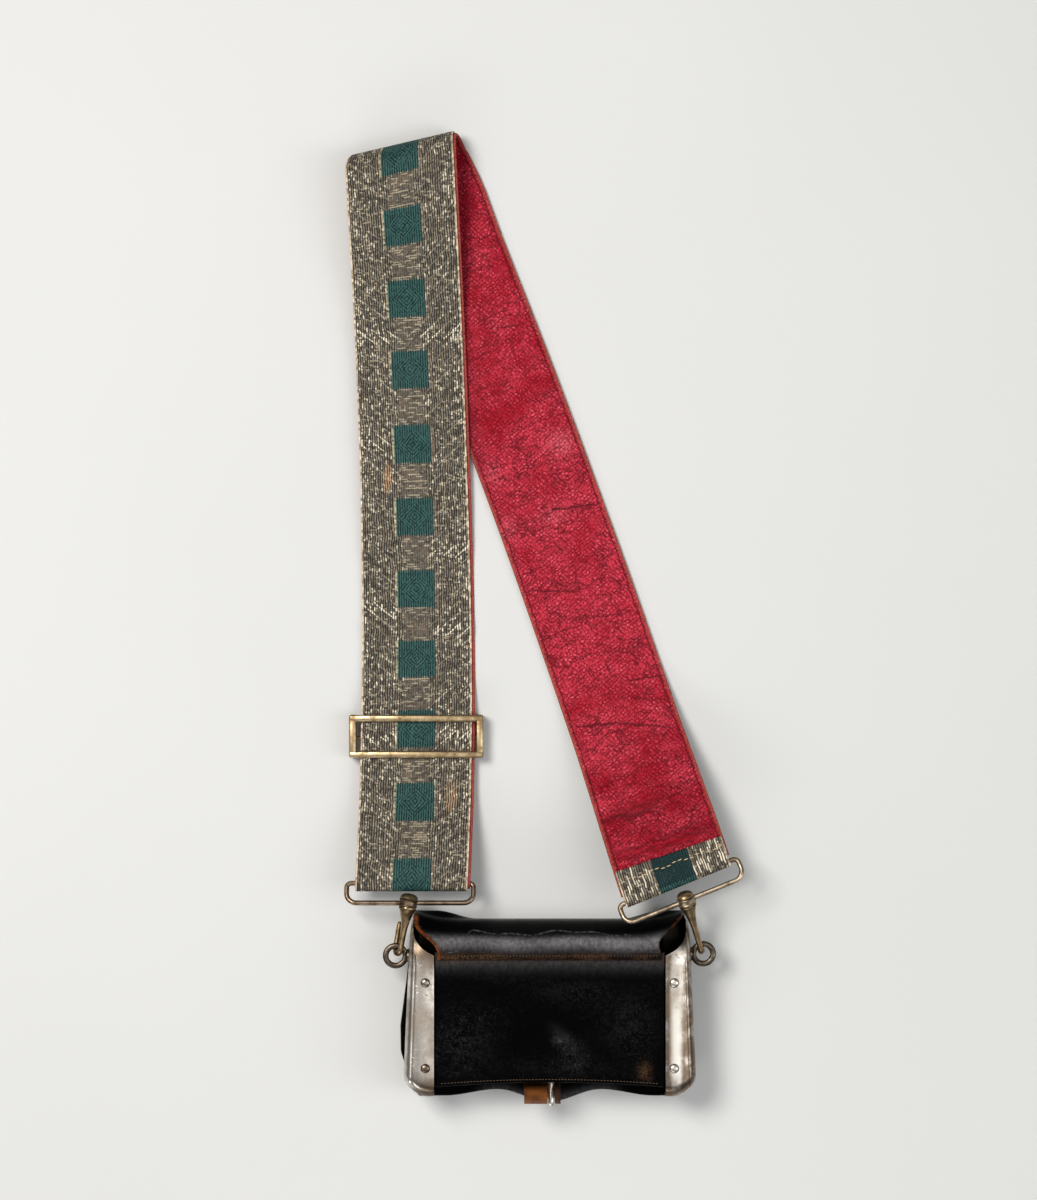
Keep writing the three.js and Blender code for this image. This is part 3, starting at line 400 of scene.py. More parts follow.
class Graph:
    """A material's node tree, with short ways to add the nodes used here."""

    def __init__(self, name):
        self.material = bpy.data.materials.new(name)
        self.material.use_nodes = True
        self.tree = self.material.node_tree
        self.shader = self.tree.nodes["Principled BSDF"]

    def put(self, socket, value):
        if isinstance(value, Value):
            self.tree.links.new(value.socket, socket)
        elif value is not None:
            socket.default_value = value

    def node(self, kind, inputs, output=0, **settings):
        """One output of a new node; its inputs are given by name or by number."""
        node = self.tree.nodes.new("ShaderNode" + kind)
        for key, setting in settings.items():
            setattr(node, key, setting)
        for key, value in inputs.items():
            self.put(node.inputs[key], value)
        return Value(self, node.outputs[output])

    def math(self, operation, *values):
        return self.node("Math", dict(enumerate(values)), operation=operation)

    def largest(self, *values):
        result = values[0]
        for value in values[1:]:
            result = self.math("MAXIMUM", result, value)
        return result

    def wave(self, cycles):
        return self.math("SINE", cycles * (2 * math.pi))

    def attribute(self, name):
        return self.node("Attribute", {}, "Fac", attribute_name=name)

    def object_place(self):
        """The object's own coordinates in metres."""
        return self.node("TexCoord", {}, "Object")

    def place(self, scale=(1, 1, 1), turn=0):
        """The object's own coordinates, turned about Z and stretched."""
        rotation = (0, 0, math.radians(turn))
        return self.node("Mapping", {"Vector": self.object_place(), "Rotation": rotation, "Scale": scale})

    def rows(self, degrees, pitch_mm):
        """A count of even rows over the object's own coordinates, stepping in a direction of the floor."""
        turn = math.radians(degrees)
        direction = (math.cos(turn) / pitch_mm / MM, math.sin(turn) / pitch_mm / MM, 0)
        inputs = {0: self.object_place(), 1: direction}
        return self.node("VectorMath", inputs, "Value", operation="DOT_PRODUCT")

    def vector(self, x, y, z=0.0):
        return self.node("CombineXYZ", {0: x, 1: y, 2: z})

    def noise(self, vector, scale, detail=2.0, roughness=0.5, distortion=0.0):
        inputs = {
            "Vector": vector, "Scale": scale, "Detail": detail,
            "Roughness": roughness, "Distortion": distortion,
        }
        return self.node("TexNoise", inputs, "Fac")

    def cells(self, vector, scale):
        """Distance to the nearest side of an uneven cell."""
        return self.node(
            "TexVoronoi", {"Vector": vector, "Scale": scale}, "Distance", feature="DISTANCE_TO_EDGE",
        )

    def chance(self, x, y, seed=0.0):
        """An even random number for each whole pair of x and y."""
        cell = self.vector(self.math("FLOOR", x), self.math("FLOOR", y), seed)
        return self.node("TexWhiteNoise", {"Vector": cell}, "Value", noise_dimensions="3D")

    def span(self, value, low, high, out_low=0.0, out_high=1.0):
        """A value brought from one range to another, smooth and held at both ends."""
        inputs = dict(enumerate((value, low, high, out_low, out_high)))
        return self.node("MapRange", inputs, "Result", interpolation_type="SMOOTHSTEP")

    def mix(self, share, a, b):
        return self.node("Mix", {"Factor": share, 6: a, 7: b}, 2, data_type="RGBA")

    def bump(self, height, strength, distance_mm):
        return self.node("Bump", {"Strength": strength, "Distance": distance_mm * MM, "Height": height})

    def finish(self, color, roughness, metallic=0.0, normal=None, specular=0.5):
        inputs = {
            "Base Color": color, "Roughness": roughness, "Metallic": metallic, "Normal": normal,
            "Specular IOR Level": specular,
        }
        for key, value in inputs.items():
            self.put(self.shader.inputs[key], value)
        return self.material


def tone(red, green, blue):
    """A colour from its 0 to 255 screen values."""
    def linear(value):
        value = value / 255
        return value / 12.92 if value <= 0.04045 else ((value + 0.055) / 1.055) ** 2.4
    return (linear(red), linear(green), linear(blue), 1.0)


def black_leather():
    g = Graph("black_leather")
    place = g.place()
    grain = g.cells(place, 1100)
    creases = g.noise(g.place((1, 2.2, 1), 14), 90, 6, 0.58, 0.8)
    patches = g.noise(place, 38, 4, 0.6)
    speckle = g.noise(place, 900, 4, 0.75)
    strokes = g.noise(g.place((1, 0.7, 1), 24), 560, 5, 0.7)
    mottle = g.span(patches, 0.46, 0.68) * g.span(speckle, 0.48, 0.72)
    flecks = g.span(speckle, 0.64, 0.74) * g.span(patches, 0.4, 0.58)
    # Painted highlights on the lid's roll and along its tongue's edge, painted sheen on the back panel, and
    # scuffs, all streaked
    wear_and_painted_light = g.attribute("scuff_and_sheen") * g.span(strokes, 0.3, 0.72, 0.42, 1)
    blotch = g.span(speckle, 0.45, 0.7, 0, 1.7) + g.span(creases, 0.4, 0.65, 0, 0.5)
    # Rubbed patches of the panel, some of them painted sheen, blotched
    patched = g.attribute("wear_and_painted_light") * blotch
    # A crease with a painted highlight along its rim: its attribute runs through one half where the crease
    # lies
    crease_off = abs(g.attribute("crease_side") + (speckle - 0.5) * 0.1 - 0.5)
    crease_line = g.span(crease_off, 0.015, 0.06, 1, 0) * g.span(strokes, 0.4, 0.62, 0.1, 1)
    # Scuffs, wear and the painted sheen and highlights lighten the black
    scuffs_and_sheen = g.largest(mottle * 0.03 + flecks * 0.12 + patched, wear_and_painted_light, crease_line * 0.3)
    color = g.mix(scuffs_and_sheen, tone(3, 3, 3), tone(132, 129, 130))
    brown = g.attribute("brown") * g.span(speckle, 0.34, 0.64) * g.span(patches, 0.3, 0.55, 0.4, 1)
    color = g.mix(brown, color, g.mix(g.span(patches, 0.4, 0.6), tone(47, 33, 25), tone(82, 60, 42)))
    raw = g.mix(g.span(g.noise(place, 240, 4), 0.38, 0.62), tone(30, 20, 15), tone(82, 48, 28))
    raw_share = g.largest(g.attribute("raw"), g.attribute("worn_raw"))
    color = g.mix(g.span(raw_share, 0.3, 0.9), color, raw)
    bare = g.span(g.attribute("worn_raw"), 0.65, 1, 0, 0.7) * g.span(speckle, 0.4, 0.6)
    color = g.mix(bare, color, tone(134, 70, 30))
    height = g.span(grain, 0, 0.12) * 0.16 + creases + speckle * 0.3 - crease_line * 0.3
    roughness = scuffs_and_sheen * 0.3 + g.span(patches, 0.3, 0.7, 0.2, 0.3)
    return g.finish(color, roughness, normal=g.bump(height, 0.4, 0.4), specular=0.012)


def tan_leather():
    g = Graph("tan_leather")
    place = g.place()
    fibre = g.noise(g.place((1, 1, 0.35)), 700, 5, 0.65)
    darkening = g.noise(place, 130, 4)
    right = g.span(g.attribute("across"), 0.5, 2.5)
    color = g.mix(g.span(darkening, 0.4, 0.65), tone(130, 73, 20), tone(90, 49, 15))
    color = g.mix(right, color, tone(58, 32, 16))
    return g.finish(color, 0.68, normal=g.bump(fibre, 0.5, 0.3))


def red_leather(end):
    """Red morocco; end is the place along the belt where the leather stops at the right hem."""
    g = Graph("red_leather")
    across = g.attribute("across")
    along = g.attribute("along")
    hollow_shade = g.attribute("hollow_shade")
    flat = g.vector(across, along)
    patches = g.noise(flat, 0.045, 4, 0.6)
    fine = g.noise(flat, 1.15, 3, 0.65)
    # Pebbled grain: small uneven cells with sunk sides, over two families of faint rows that wander
    stray = g.noise(flat, 0.11, 4, 0.7) * 2.4 - 1.2
    rising = g.wave(g.rows(132, 1.6) + stray)
    falling = g.wave(g.rows(50, 1.75) - stray)
    lead = g.span(g.noise(flat, 0.07, 2), 0.35, 0.65, 0.3, 0.85)
    depth = g.span(g.noise(flat, 0.13, 4, 0.65), 0.36, 0.6, 0.75, 1.25) * (1 - hollow_shade * 0.75)
    bent = g.vector(across + fine * 0.9, along + fine * 0.9)
    cells = g.span(g.cells(bent, 0.55), 0.02, 0.26, -1.2, 0.6)
    pebble = (rising * lead + falling * (1 - lead)) * 0.5 + cells * 0.7
    pebble = (pebble + (fine - 0.5) * 2.2) * depth
    # Cracks lie across the belt, along the level lines of a slow noise, and closer together above the hem
    crack_noise = g.noise(g.vector(across * 0.035, along * 0.1), 1, 5, 0.6)
    crack = g.span(abs(crack_noise - 0.52), 0.003, 0.018, 1, 0) * g.span(patches, 0.4, 0.55)
    wrinkle_noise = g.noise(g.vector(across * 0.06 + 7, along * 0.3), 1, 4, 0.6)
    wrinkle = g.span(abs(wrinkle_noise - 0.5), 0.004, 0.03, 1, 0) * g.span(along, end - 85, end - 25)
    edge_distance = LINING_HALF_WIDTH - abs(across)
    waver = g.noise(flat, 0.25, 3) * 1.6 - 0.8
    # A net of thin cracks with wavering sides, where the leather is worn
    net_noise = g.noise(flat, 0.3, 4, 0.6) * 5
    net_place = g.vector(across + net_noise, along * 1.25 + net_noise)
    net = g.span(g.cells(net_place, 0.12), 0.02, 0.085, 1, 0) * g.span(fine, 0.34, 0.54, 0.4, 1)
    groove = g.span(abs(edge_distance + waver - 2.6), 0.15, 0.6, 1, 0)
    # Single thin creases across the belt, painted dark as shade
    line = 0.0
    reach = end + LINING_END - along
    for from_across, from_reach, to_across, to_reach, strength in LINING_LINES:
        slope = (to_reach - from_reach) / (to_across - from_across)
        off = abs(reach - (across - from_across) * slope - from_reach + waver * 2.2)
        begun = g.span(across, from_across - 2, from_across + 3)
        inside = begun * g.span(across, to_across - 3, to_across + 2, 1, 0)
        line = g.largest(g.span(off, 0.3, 1.05, 1, 0) * inside * strength, line)
    # Paler with wear along the middle, and on single spots
    wear = patches + g.span(along, end - 280, end - 190, -0.06, 0.05)
    wear = wear - g.span(along, end - 120, end - 50, 0, 0.1)
    worn_share = (g.span(wear, 0.3, 0.6) + g.attribute("worn")) * (1 - hollow_shade)
    net = net * g.span(wear, 0.4, 0.5) * g.span(g.noise(flat, 0.1, 3), 0.42, 0.6, 0.2, 1)
    # Painted glints on the pebbles' tops, stronger where worn
    glint = g.span(pebble, 0.3, 1.5) * (worn_share * 0.34 + 0.2)
    pits = g.span(pebble, -1.05, 0.05, 1, 0)
    color = g.mix(worn_share, tone(154, 3, 29), tone(192, 47, 66))
    color = g.mix(pits * 0.74, color, tone(96, 0, 14))
    color = g.mix(glint, color, tone(244, 136, 148))
    color = g.mix(g.attribute("worn") * (0.62 - pits * 0.45), color, tone(206, 100, 112))
    # Dark lines: cracks, the net, the edge groove and wrinkles, with painted shade in the creases and beside
    # the upper leg
    dark_lines = g.largest(
        crack * 0.75, net * 0.68, groove * 0.8, wrinkle * 0.65, line, g.attribute("crease") * 0.92,
        g.attribute("darkening"),
    )
    # Hollows painted dark as shade
    color = g.mix(hollow_shade * 0.75, color, tone(124, 0, 18))
    color = g.mix(dark_lines, color, tone(72, 0, 8))
    edge_worn = g.span(edge_distance, 0.5, 2.2, 1, 0) * g.span(fine, 0.3, 0.58)
    color = g.mix(edge_worn * 0.75, color, tone(152, 88, 70))
    height = pebble - groove - crack - wrinkle - net - line
    roughness = g.span(pebble, -1, 1, 0.6, 0.42)
    return g.finish(color, roughness, normal=g.bump(height, 0.4, 0.16), specular=0.1)


def lace(square_pitch, hem_from):
    """Silver lace with green squares; hem_from is the place along the belt where its right hem starts."""
    g = Graph("silver_lace")
    across = g.attribute("across")
    along = g.attribute("along")
    flat = g.vector(across, along)
    off = abs(across)
    hem = g.span(along, hem_from - 0.5, hem_from + 0.5)
    # Threads run on further in the hem
    pace = along - (along - hem_from) * hem * 0.72
    # Distance along the belt from the nearest square's middle; in the hem the square reaches its ends
    step = (g.attribute("squares") - FIRST_SQUARE_AT) / square_pitch
    near = abs((g.math("FRACT", step + 0.5) - 0.5) * square_pitch)
    near = near - g.span(along, hem_from - 8, hem_from - 7, 0, 2.4)
    comb = g.wave(across / COMB_PITCH)
    stray = g.noise(flat, 0.9, 3, 0.6) - 0.5
    side_edge = off + stray * 0.9
    end_edge = near + comb * 0.4 + stray * 2.4
    in_width = g.span(side_edge, SQUARE_HALF_WIDTH - 0.3, SQUARE_HALF_WIDTH + 0.2, 1, 0)
    square = in_width * g.span(end_edge, SQUARE_HALF_HEIGHT - 0.6, SQUARE_HALF_HEIGHT + 0.5, 1, 0)
    # Ribs along the belt, a little wavy, with dark grooves between;
    # each rib is a run of light and dark threads
    sway = g.noise(g.vector(across * 0.06, along * 0.11), 1, 3, 0.6)
    swayed = across + (sway * 2.4 - 1.2)
    rib_place = swayed / RIB_PITCH
    rib = g.wave(rib_place)
    groove = g.span(rib, -0.55, 0.4, 1, 0)
    rib_number = rib_place + 0.25
    offset = g.math("FLOOR", rib_number) * 0.37
    long_run = g.chance(rib_number, pace / 1.9 + offset, 1.5)
    short_run = g.chance(rib_number, pace / 0.85 + offset, 2.5)
    thread_light = long_run * 0.6 + short_run * 0.4
    # Thin slanted lines that rise towards both edges
    slant = along - off * 0.82 + stray
    slant_line = g.span(abs(g.math("FRACT", slant / SLANT_PITCH) - 0.5), 0.03, 0.1, 1, 0)
    slants = slant_line * g.span(g.noise(flat, 0.09, 2), 0.4, 0.56)
    # Places where a crease lifts the slanted threads to the light
    bands = 0.0
    ragged = along + (g.noise(flat, 0.1, 3) * 12 - 6)
    for place, side in BRIGHT_BANDS:
        band_share = g.span(abs(ragged - place), 1.5, 4.5, 1, 0)
        if side:
            band_share = band_share * g.span(across * side, 7, 11)
        bands = g.largest(band_share, bands)
    bands = bands * (slant_line * 0.8 + 0.2)
    # The hem and both outer strips are set closer with bright threads
    lift = bands * 0.5 + slants * 0.12 + hem * 0.17 + g.span(off, 20, 24) * 0.07
    fleck = g.span(thread_light + lift, 0.74, 0.92) * (1 - groove * 0.9)
    # Short ticks across the ribs
    tick_row = along / 0.75
    ticks = g.span(g.chance(swayed / 1.6 + tick_row * 0.31, tick_row, 3.5), 0.94, 0.96)
    tarnish = g.noise(flat, 0.06, 4, 0.65)
    thread_tone = g.mix(g.span(tarnish, 0.35, 0.65), tone(131, 122, 108), tone(142, 132, 113))
    ground = g.mix(g.span(thread_light, 0.1, 0.8), tone(78, 72, 63), thread_tone)
    ground = g.mix(groove * 0.95, ground, tone(26, 24, 21))
    ground = g.mix(slants * 0.26, ground, tone(178, 168, 146))
    ground = g.mix(ticks * 0.5, ground, tone(182, 168, 142))
    ground = g.mix(fleck, ground, g.mix(bands, tone(218, 206, 182), tone(252, 240, 214)))
    # Between the squares a smoother ground with dashes across the belt
    middle = g.span(off + stray * 2.6, 5.8, 7.2, 1, 0)
    dash_row = (along + stray * 1.2) / 1.15
    dash = g.chance(across / 3.1 + g.math("FLOOR", dash_row) * 0.43, dash_row, 4.5)
    dash_line = g.span(g.wave(dash_row), -0.3, 0.5)
    dashes = g.math("GREATER_THAN", dash, g.span(near, 9.5, 13, 0.52, 0.74)) * dash_line
    grain = g.chance(across / 1.1, along / 0.6, 5.5)
    plain = g.mix(grain, tone(60, 55, 48), tone(106, 98, 86))
    plain = g.mix(g.span(g.noise(flat, 0.12, 3), 0.52, 0.68) * 0.3, plain, tone(138, 112, 92))
    plain = g.mix(dashes * 0.75, plain, tone(198, 182, 154))
    ground = g.mix(middle * (0.72 - hem * 0.72), ground, plain)
    # Green silk squares: a lozenge weave in the middle, upright threads in the corners and near both ends
    lozenge = g.wave((off + near + stray * 1.3) / LOZENGE_PITCH)
    corner = g.span(off + near, 6, 12)
    upright = comb * g.largest(corner, g.span(near, 3, 7.5))
    silk_thread = g.chance(across / 0.55, along, 6.5)
    silk_light = upright * 0.42 + lozenge * (0.26 - corner * 0.2) + (silk_thread * 0.5 + 0.25)
    silk = g.mix(g.span(silk_light, 0.1, 0.95), tone(6, 34, 35), tone(57, 91, 86))
    silk = g.mix(hem * 0.75, silk, tone(6, 26, 30))
    color = g.mix(square, ground, silk)
    # Bright thread on the left of each square, a duller one on the right
    beside = g.span(near, SQUARE_HALF_HEIGHT - 0.6, SQUARE_HALF_HEIGHT + 0.6, 1, 0)
    dotted = beside * g.chance(1.0, along, 7.5) * 0.55
    left_line = g.span(abs(across + (SQUARE_HALF_WIDTH + 0.5)), 0.3, 0.7, 1, 0)
    right_line = g.span(abs(across - (SQUARE_HALF_WIDTH + 0.7)), 0.4, 0.9, 1, 0)
    color = g.mix(left_line * dotted * (1 - hem * 0.7), color, tone(230, 214, 168))
    color = g.mix(right_line * dotted * 0.6, color, tone(168, 146, 124))
    selvedge = g.span(off + stray * 0.5, LACE_HALF_WIDTH - 1, LACE_HALF_WIDTH - 0.6)
    beads = g.mix(g.chance(1.0, along / 1.6, 8.5), tone(140, 118, 96), tone(236, 218, 188))
    color = g.mix(selvedge * (1 - hem * 0.6), color, beads)
    for place_across, place_along, reach_across, reach_along in WORN_SPOTS:
        over = (across - place_across) / reach_across
        up = (along - place_along) / reach_along
        spot = g.span(over * over + up * up + stray, 0, 1.3, 0.55, 0)
        color = g.mix(spot * (1 - g.largest(square, groove)), color, tone(206, 160, 118))
    height = (rib * 0.5 + fleck * 0.5) * (1 - square * 0.75)
    roughness = g.span(fleck, 0, 1, 0.62, 0.4)
    return g.finish(color, roughness, fleck * 0.2, g.bump(height, 0.55, 0.3), specular=0.12)


def white_metal():
    g = Graph("white_metal")
    place = g.place()
    tarnish = g.noise(place, 55, 5, 0.62)
    spots = g.span(g.noise(place, 420, 4, 0.6), 0.6, 0.74)
    scratches = g.noise(g.place((1, 14, 1), 62), 320, 3, 0.6)
    color = g.mix(g.span(tarnish, 0.35, 0.68), tone(230, 223, 212), tone(172, 161, 148))
    color = g.mix(spots * 0.65, color, tone(90, 77, 62))
    # Dull tarnish, with painted shade on the sides of the right cap's crowned flange
    color = g.mix(g.attribute("dull") * g.span(tarnish, 0.3, 0.55), color, tone(106, 91, 76))
    # A painted highlight down the middle of the right cap's crowned flange
    color = g.mix(g.attribute("painted_highlight") * 0.8, color, tone(243, 237, 225))
    # Painted shade on the caps' inner walls and round the rivets' heads
    color = g.mix(g.attribute("inside"), color, tone(34, 30, 27))
    roughness = scratches * 0.14 + g.span(tarnish, 0.35, 0.7, 0.2, 0.36)
    height = g.noise(place, 50, 3) - spots * 0.5
    return g.finish(color, roughness, 1.0, g.bump(height, 0.25, 0.4))


def brass(name, bright, dull):
    g = Graph(name)
    place = g.place()
    tarnish = g.noise(place, 150, 5, 0.65)
    spots = g.span(g.noise(place, 600, 4, 0.6), 0.58, 0.72)
    color = g.mix(g.span(tarnish, 0.36, 0.66), tone(*bright), tone(*dull))
    color = g.mix(spots * 0.7, color, tone(58, 46, 30))
    roughness = g.span(tarnish, 0.3, 0.7, 0.28, 0.48)
    return g.finish(color, roughness, 1.0, g.bump(g.noise(place, 260, 4), 0.16, 0.3))


def thread(name, light, dark):
    g = Graph(name)
    twist = g.noise(g.place((1, 1, 1), 40), 1500, 2)
    return g.finish(g.mix(twist, dark, light), 0.75, normal=g.bump(twist, 0.4, 0.15))


# Fittings of each side


def hook_frame(side):
    seat, heading, pitch, roll = (math.radians(side[key]) for key in ("seat", "heading", "pitch", "roll"))
    centre = np.array([
        side["eye_x"] + EYE_RADIUS * math.sin(seat), side["eye_y"] + EYE_RADIUS * math.cos(seat), EYE_Z,
    ])
    along = np.array([
        math.sin(heading) * math.cos(pitch), -math.cos(heading) * math.cos(pitch), math.sin(pitch),
    ])
    level = np.array([-math.cos(heading), -math.sin(heading), 0])
    down = unit(np.cross(along, level))
    down *= -np.sign(down[2])
    inward = down * math.cos(roll) + level * math.sin(roll)
    boss = centre - inward * HOOK_BEND - along * side["shank"]
    return centre, along, inward, boss


def loop_frame(side):
    turn = math.radians(side["turn"])
    tilt = math.radians(side["tilt"])
    across = np.array([math.cos(turn), math.sin(turn), 0])
    up = np.array([-math.sin(turn) * math.cos(tilt), math.cos(turn) * math.cos(tilt), math.sin(tilt)])
    _, along, _, boss = hook_frame(side)
    bar = boss + across * side["shift"] + up * LOOP_HEIGHT
    return across, up, boss, along, bar


def hook(name, side, material):
    centre, along, inward, boss = hook_frame(side)
    stations = [boss + along * a for a in HOOK_ALONG]
    radii = list(HOOK_RADII)
    for angle in np.linspace(0, math.pi, 19):
        stations.append(centre - inward * HOOK_BEND * math.cos(angle) + along * HOOK_BEND * math.sin(angle))
        radii.append(HOOK_WIRE + 0.35 * math.sin(angle))
    for share, radius in ((0.3, 1.35), (0.6, 1.3), (0.85, 1.2), (0.95, 1), (0.99, 0.6), (1, 0.15)):
        stations.append(centre + inward * HOOK_BEND - along * share * HOOK_RETURN)
        radii.append(radius)
    vertices, faces = ring_solid(round_bar(stations, radii, 24))
    new_piece(f"hook_turned_{name}", vertices, faces, material, f"hook_{name}")


def loop(name, side, material):
    across, up, boss, along, _ = loop_frame(side)
    left = side["shift"] - LOOP_HALF_WIDTH
    right = side["shift"] + LOOP_HALF_WIDTH
    low, high = LOOP_LOWER_CORNER, LOOP_UPPER_CORNER
    corners = [
        (left + low, low, low, 270), (left + high, LOOP_HEIGHT - high, high, 180),
        (right - high, LOOP_HEIGHT - high, high, 90), (right - low, low, low, 0),
    ]
    plan = [(-3, 0), (-12, 0)]
    for x, y, radius, start in corners:
        for angle in np.radians(np.linspace(start, start - 90, 11)):
            plan.append((x + radius * math.cos(angle), y + radius * math.sin(angle)))
    plan += [(12, 0), (3, 0)]
    stations = [boss + across * x + up * y for x, y in plan]
    wire = ring_solid(round_bar(stations, [LOOP_WIRE] * len(stations), 16))
    rings = lathe(boss, along, BOSS_ALONG + BOSS_ALONG[:1], BOSS_RADII + BOSS_RADII[:1], 40)
    ring = ring_solid(rings, closed_ends=False)
    vertices, faces = merged([wire, ring])
    new_piece(f"loop_wire_{name}", vertices, faces, material, f"loop_{name}")


def eye(name, side, material):
    centre = np.array([side["eye_x"], side["eye_y"], EYE_Z])
    rings = []
    for turn in np.linspace(0, 2 * math.pi, 49):
        outward = np.array([math.cos(turn), math.sin(turn), 0])
        angles = np.linspace(0, 2 * math.pi, 16, endpoint=False)
        # A flattened section: broad face up, narrow chamfers
        flat = np.sign(np.cos(angles)) * np.abs(np.cos(angles)) ** 0.75
        tall = np.sign(np.sin(angles)) * np.abs(np.sin(angles)) ** 0.75
        section = (EYE_RADIUS + EYE_WIRE * flat)[:, None] * outward
        section[:, 2] = EYE_WIRE * 0.95 * tall
        rings.append(centre + section)
    ring = ring_solid(rings, closed_ends=False)
    foot_x = side["sign"] * (CASE_HALF_WIDTH + 0.05)
    along = [0, 0, 0.3, 1, 1.6, 2.1]
    radii = [0, EYE_FOOT_RADIUS - 0.2, EYE_FOOT_RADIUS, EYE_FOOT_RADIUS - 0.2, 2.6, 2]
    foot = ring_solid(lathe([foot_x, side["eye_y"], EYE_Z], [side["sign"], 0, 0], along, radii, 24))
    vertices, faces = merged([ring, foot])
    new_piece(f"eye_ring_{name}", vertices, faces, material, f"eye_{name}")


# Pouch


def arc_points(y, z, radius, start, end, count):
    angles = np.radians(np.linspace(start, end, count))
    return np.stack([y + radius * np.cos(angles), z + radius * np.sin(angles)], axis=1)


def case_outline(wall, edge_inset, bottom_inset):
    inset = wall + edge_inset
    bottom = CASE_BOTTOM_Y + wall + bottom_inset
    corner = max(CASE_CORNER - inset, 0.8)
    back = CASE_BACK_Z - inset
    front = CASE_FRONT_Z + inset
    top = CASE_TOP_Y - inset
    shoulder = CASE_SHOULDER - inset
    return np.concatenate([
        arc_points(bottom + corner, back - corner, corner, 180, 90, 9),
        np.linspace([bottom + corner, back], [top - shoulder, back], 12)[1:-1],
        arc_points(top - shoulder, back - shoulder, shoulder, 90, 0, 17),
        arc_points(top - corner, front + corner, corner, 0, -90, 9),
        arc_points(bottom + corner, front + corner, corner, -90, -180, 9),
    ])


def cap_openness():
    """How far the cap's rim has drawn back to the side, along its outline."""
    return np.concatenate([
        np.zeros(9), np.zeros(10), 1 - np.linspace(1, 0, 17) ** CAP_RIM_SWEEP,
        np.linspace(1, 0, 9), np.zeros(9),
    ])


def round_inset(x, end, radius):
    into = max(x - (end - radius), 0)
    return radius - math.sqrt(max(radius * radius - into * into, 0))


def cap_relief(x):
    """How far the pressed face lies in from the plain one: a crowned flange, a groove and a bead."""
    share = min(max((x - CAP_RIM_X) / (CAP_GROOVE_X - CAP_RIM_X), 0), 1)
    crown = CAP_CROWN * (2 * share - 1) ** 2 if x < CAP_GROOVE_X else 0
    groove = CAP_GROOVE_DEPTH * math.exp(-((x - CAP_GROOVE_X) / 0.45) ** 2)
    return max(crown, groove)


def cap_skin(wall, steps, dressed):
    end = CASE_HALF_WIDTH - wall
    rims = mixed(CAP_RIM_X, CAP_TOP_RIM_X, cap_openness())
    rings = []
    for step in steps:
        ring = []
        for j, rim in enumerate(rims):
            x = mixed(rim, end, step)
            relief = cap_relief(x) if dressed else 0
            outline = case_outline(
                wall, round_inset(x, end, CAP_EDGE_ROUND - wall) + relief,
                round_inset(x, end, CAP_BOTTOM_ROUND - wall) + relief,
            )
            splay = step * CAP_SPLAY * (CAP_SPLAY_FROM_Y - outline[j, 0])
            ring.append([x + splay, outline[j, 0], outline[j, 1]])
        rings.append(np.array(ring))
    return rings


def end_cap(name, side, material):
    steps = 1 - np.linspace(1, 0, 45) ** 1.5
    outer = cap_skin(0, steps, True)
    inner = cap_skin(CAP_WALL, steps[::4], False)
    rings = np.array(outer[::-1] + inner)
    rings[..., 0] *= side["sign"]
    vertices, faces = ring_solid(rings)
    # Duller towards the bottom and the top
    dull = smooth((-33 - vertices[:, 1]) / 10) + smooth((vertices[:, 1] - 12) / 16) * 0.7
    off_crown = np.abs(np.abs(vertices[:, 0]) - (CAP_RIM_X + CAP_GROOVE_X) / 2 - 0.6)
    # The sides of the crowned flange are painted darker as shade, most on the right cap; the left cap is
    # duller all over
    wear_and_painted_light = (0.3, 0.25) if side["sign"] < 0 else (-0.15, 1.2)
    dull = np.clip(dull + wear_and_painted_light[0] + wear_and_painted_light[1] * smooth((off_crown - 1.6) / 2.6), 0, 1)
    # A painted highlight down the middle of the right cap's crowned flange
    painted_highlight = smooth((2.8 - off_crown) / 2) * smooth((6 - vertices[:, 1]) / 12) * (side["sign"] > 0)
    painted_highlight = painted_highlight * smooth((vertices[:, 1] + 40) / 8)
    # The inner wall is painted dark as shade
    inside = np.arange(len(vertices)) >= len(outer) * rings.shape[1]
    attributes = {"dull": dull, "inside": inside, "painted_highlight": painted_highlight}
    new_piece(
        f"end_cap_pressed_{name}", vertices, faces, material, f"end_cap_{name}", attributes,
    )


def rivet(name, side, row, y, material):
    angles = np.radians(np.linspace(0, 90, 9))
    radii = [0, RIVET_RADIUS + 0.15, RIVET_RADIUS + 0.15] + list(RIVET_RADIUS * np.cos(angles))
    along = [0, 0, 0.2] + list(0.2 + (RIVET_HEIGHT - 0.2) * np.sin(angles))
    base = [side["sign"] * RIVET_X, y, CASE_BACK_Z + 0.02]
    vertices, faces = ring_solid(lathe(base, [0, 0, 1], along, radii, 24))
    # Painted shade in the corner round the head, and a dull head on the left side
    darkening = np.repeat(np.clip((np.array(radii) - RIVET_RADIUS * 0.86) / (RIVET_RADIUS * 0.14), 0, 1), 24)
    dull = np.full(len(vertices), 1 if side["sign"] < 0 else 0)
    attributes = {"dull": dull, "inside": (0.6 if side["sign"] < 0 else 0.85) * darkening}
    new_piece(
        f"rivet_dome_{name}_{row}", vertices, faces, material,
        f"rivet_{name}_{row}", attributes,
    )


def bottom_bow(x):
    return BOTTOM_BOW * np.maximum(1 - (x / CAP_RIM_X) ** 2, 0)


def grid_normals(points):
    down = np.gradient(points, axis=0)
    over = np.gradient(points, axis=1)
    normals = np.cross(over, down)
    return normals / np.maximum(np.linalg.norm(normals, axis=2, keepdims=True), 1e-9)


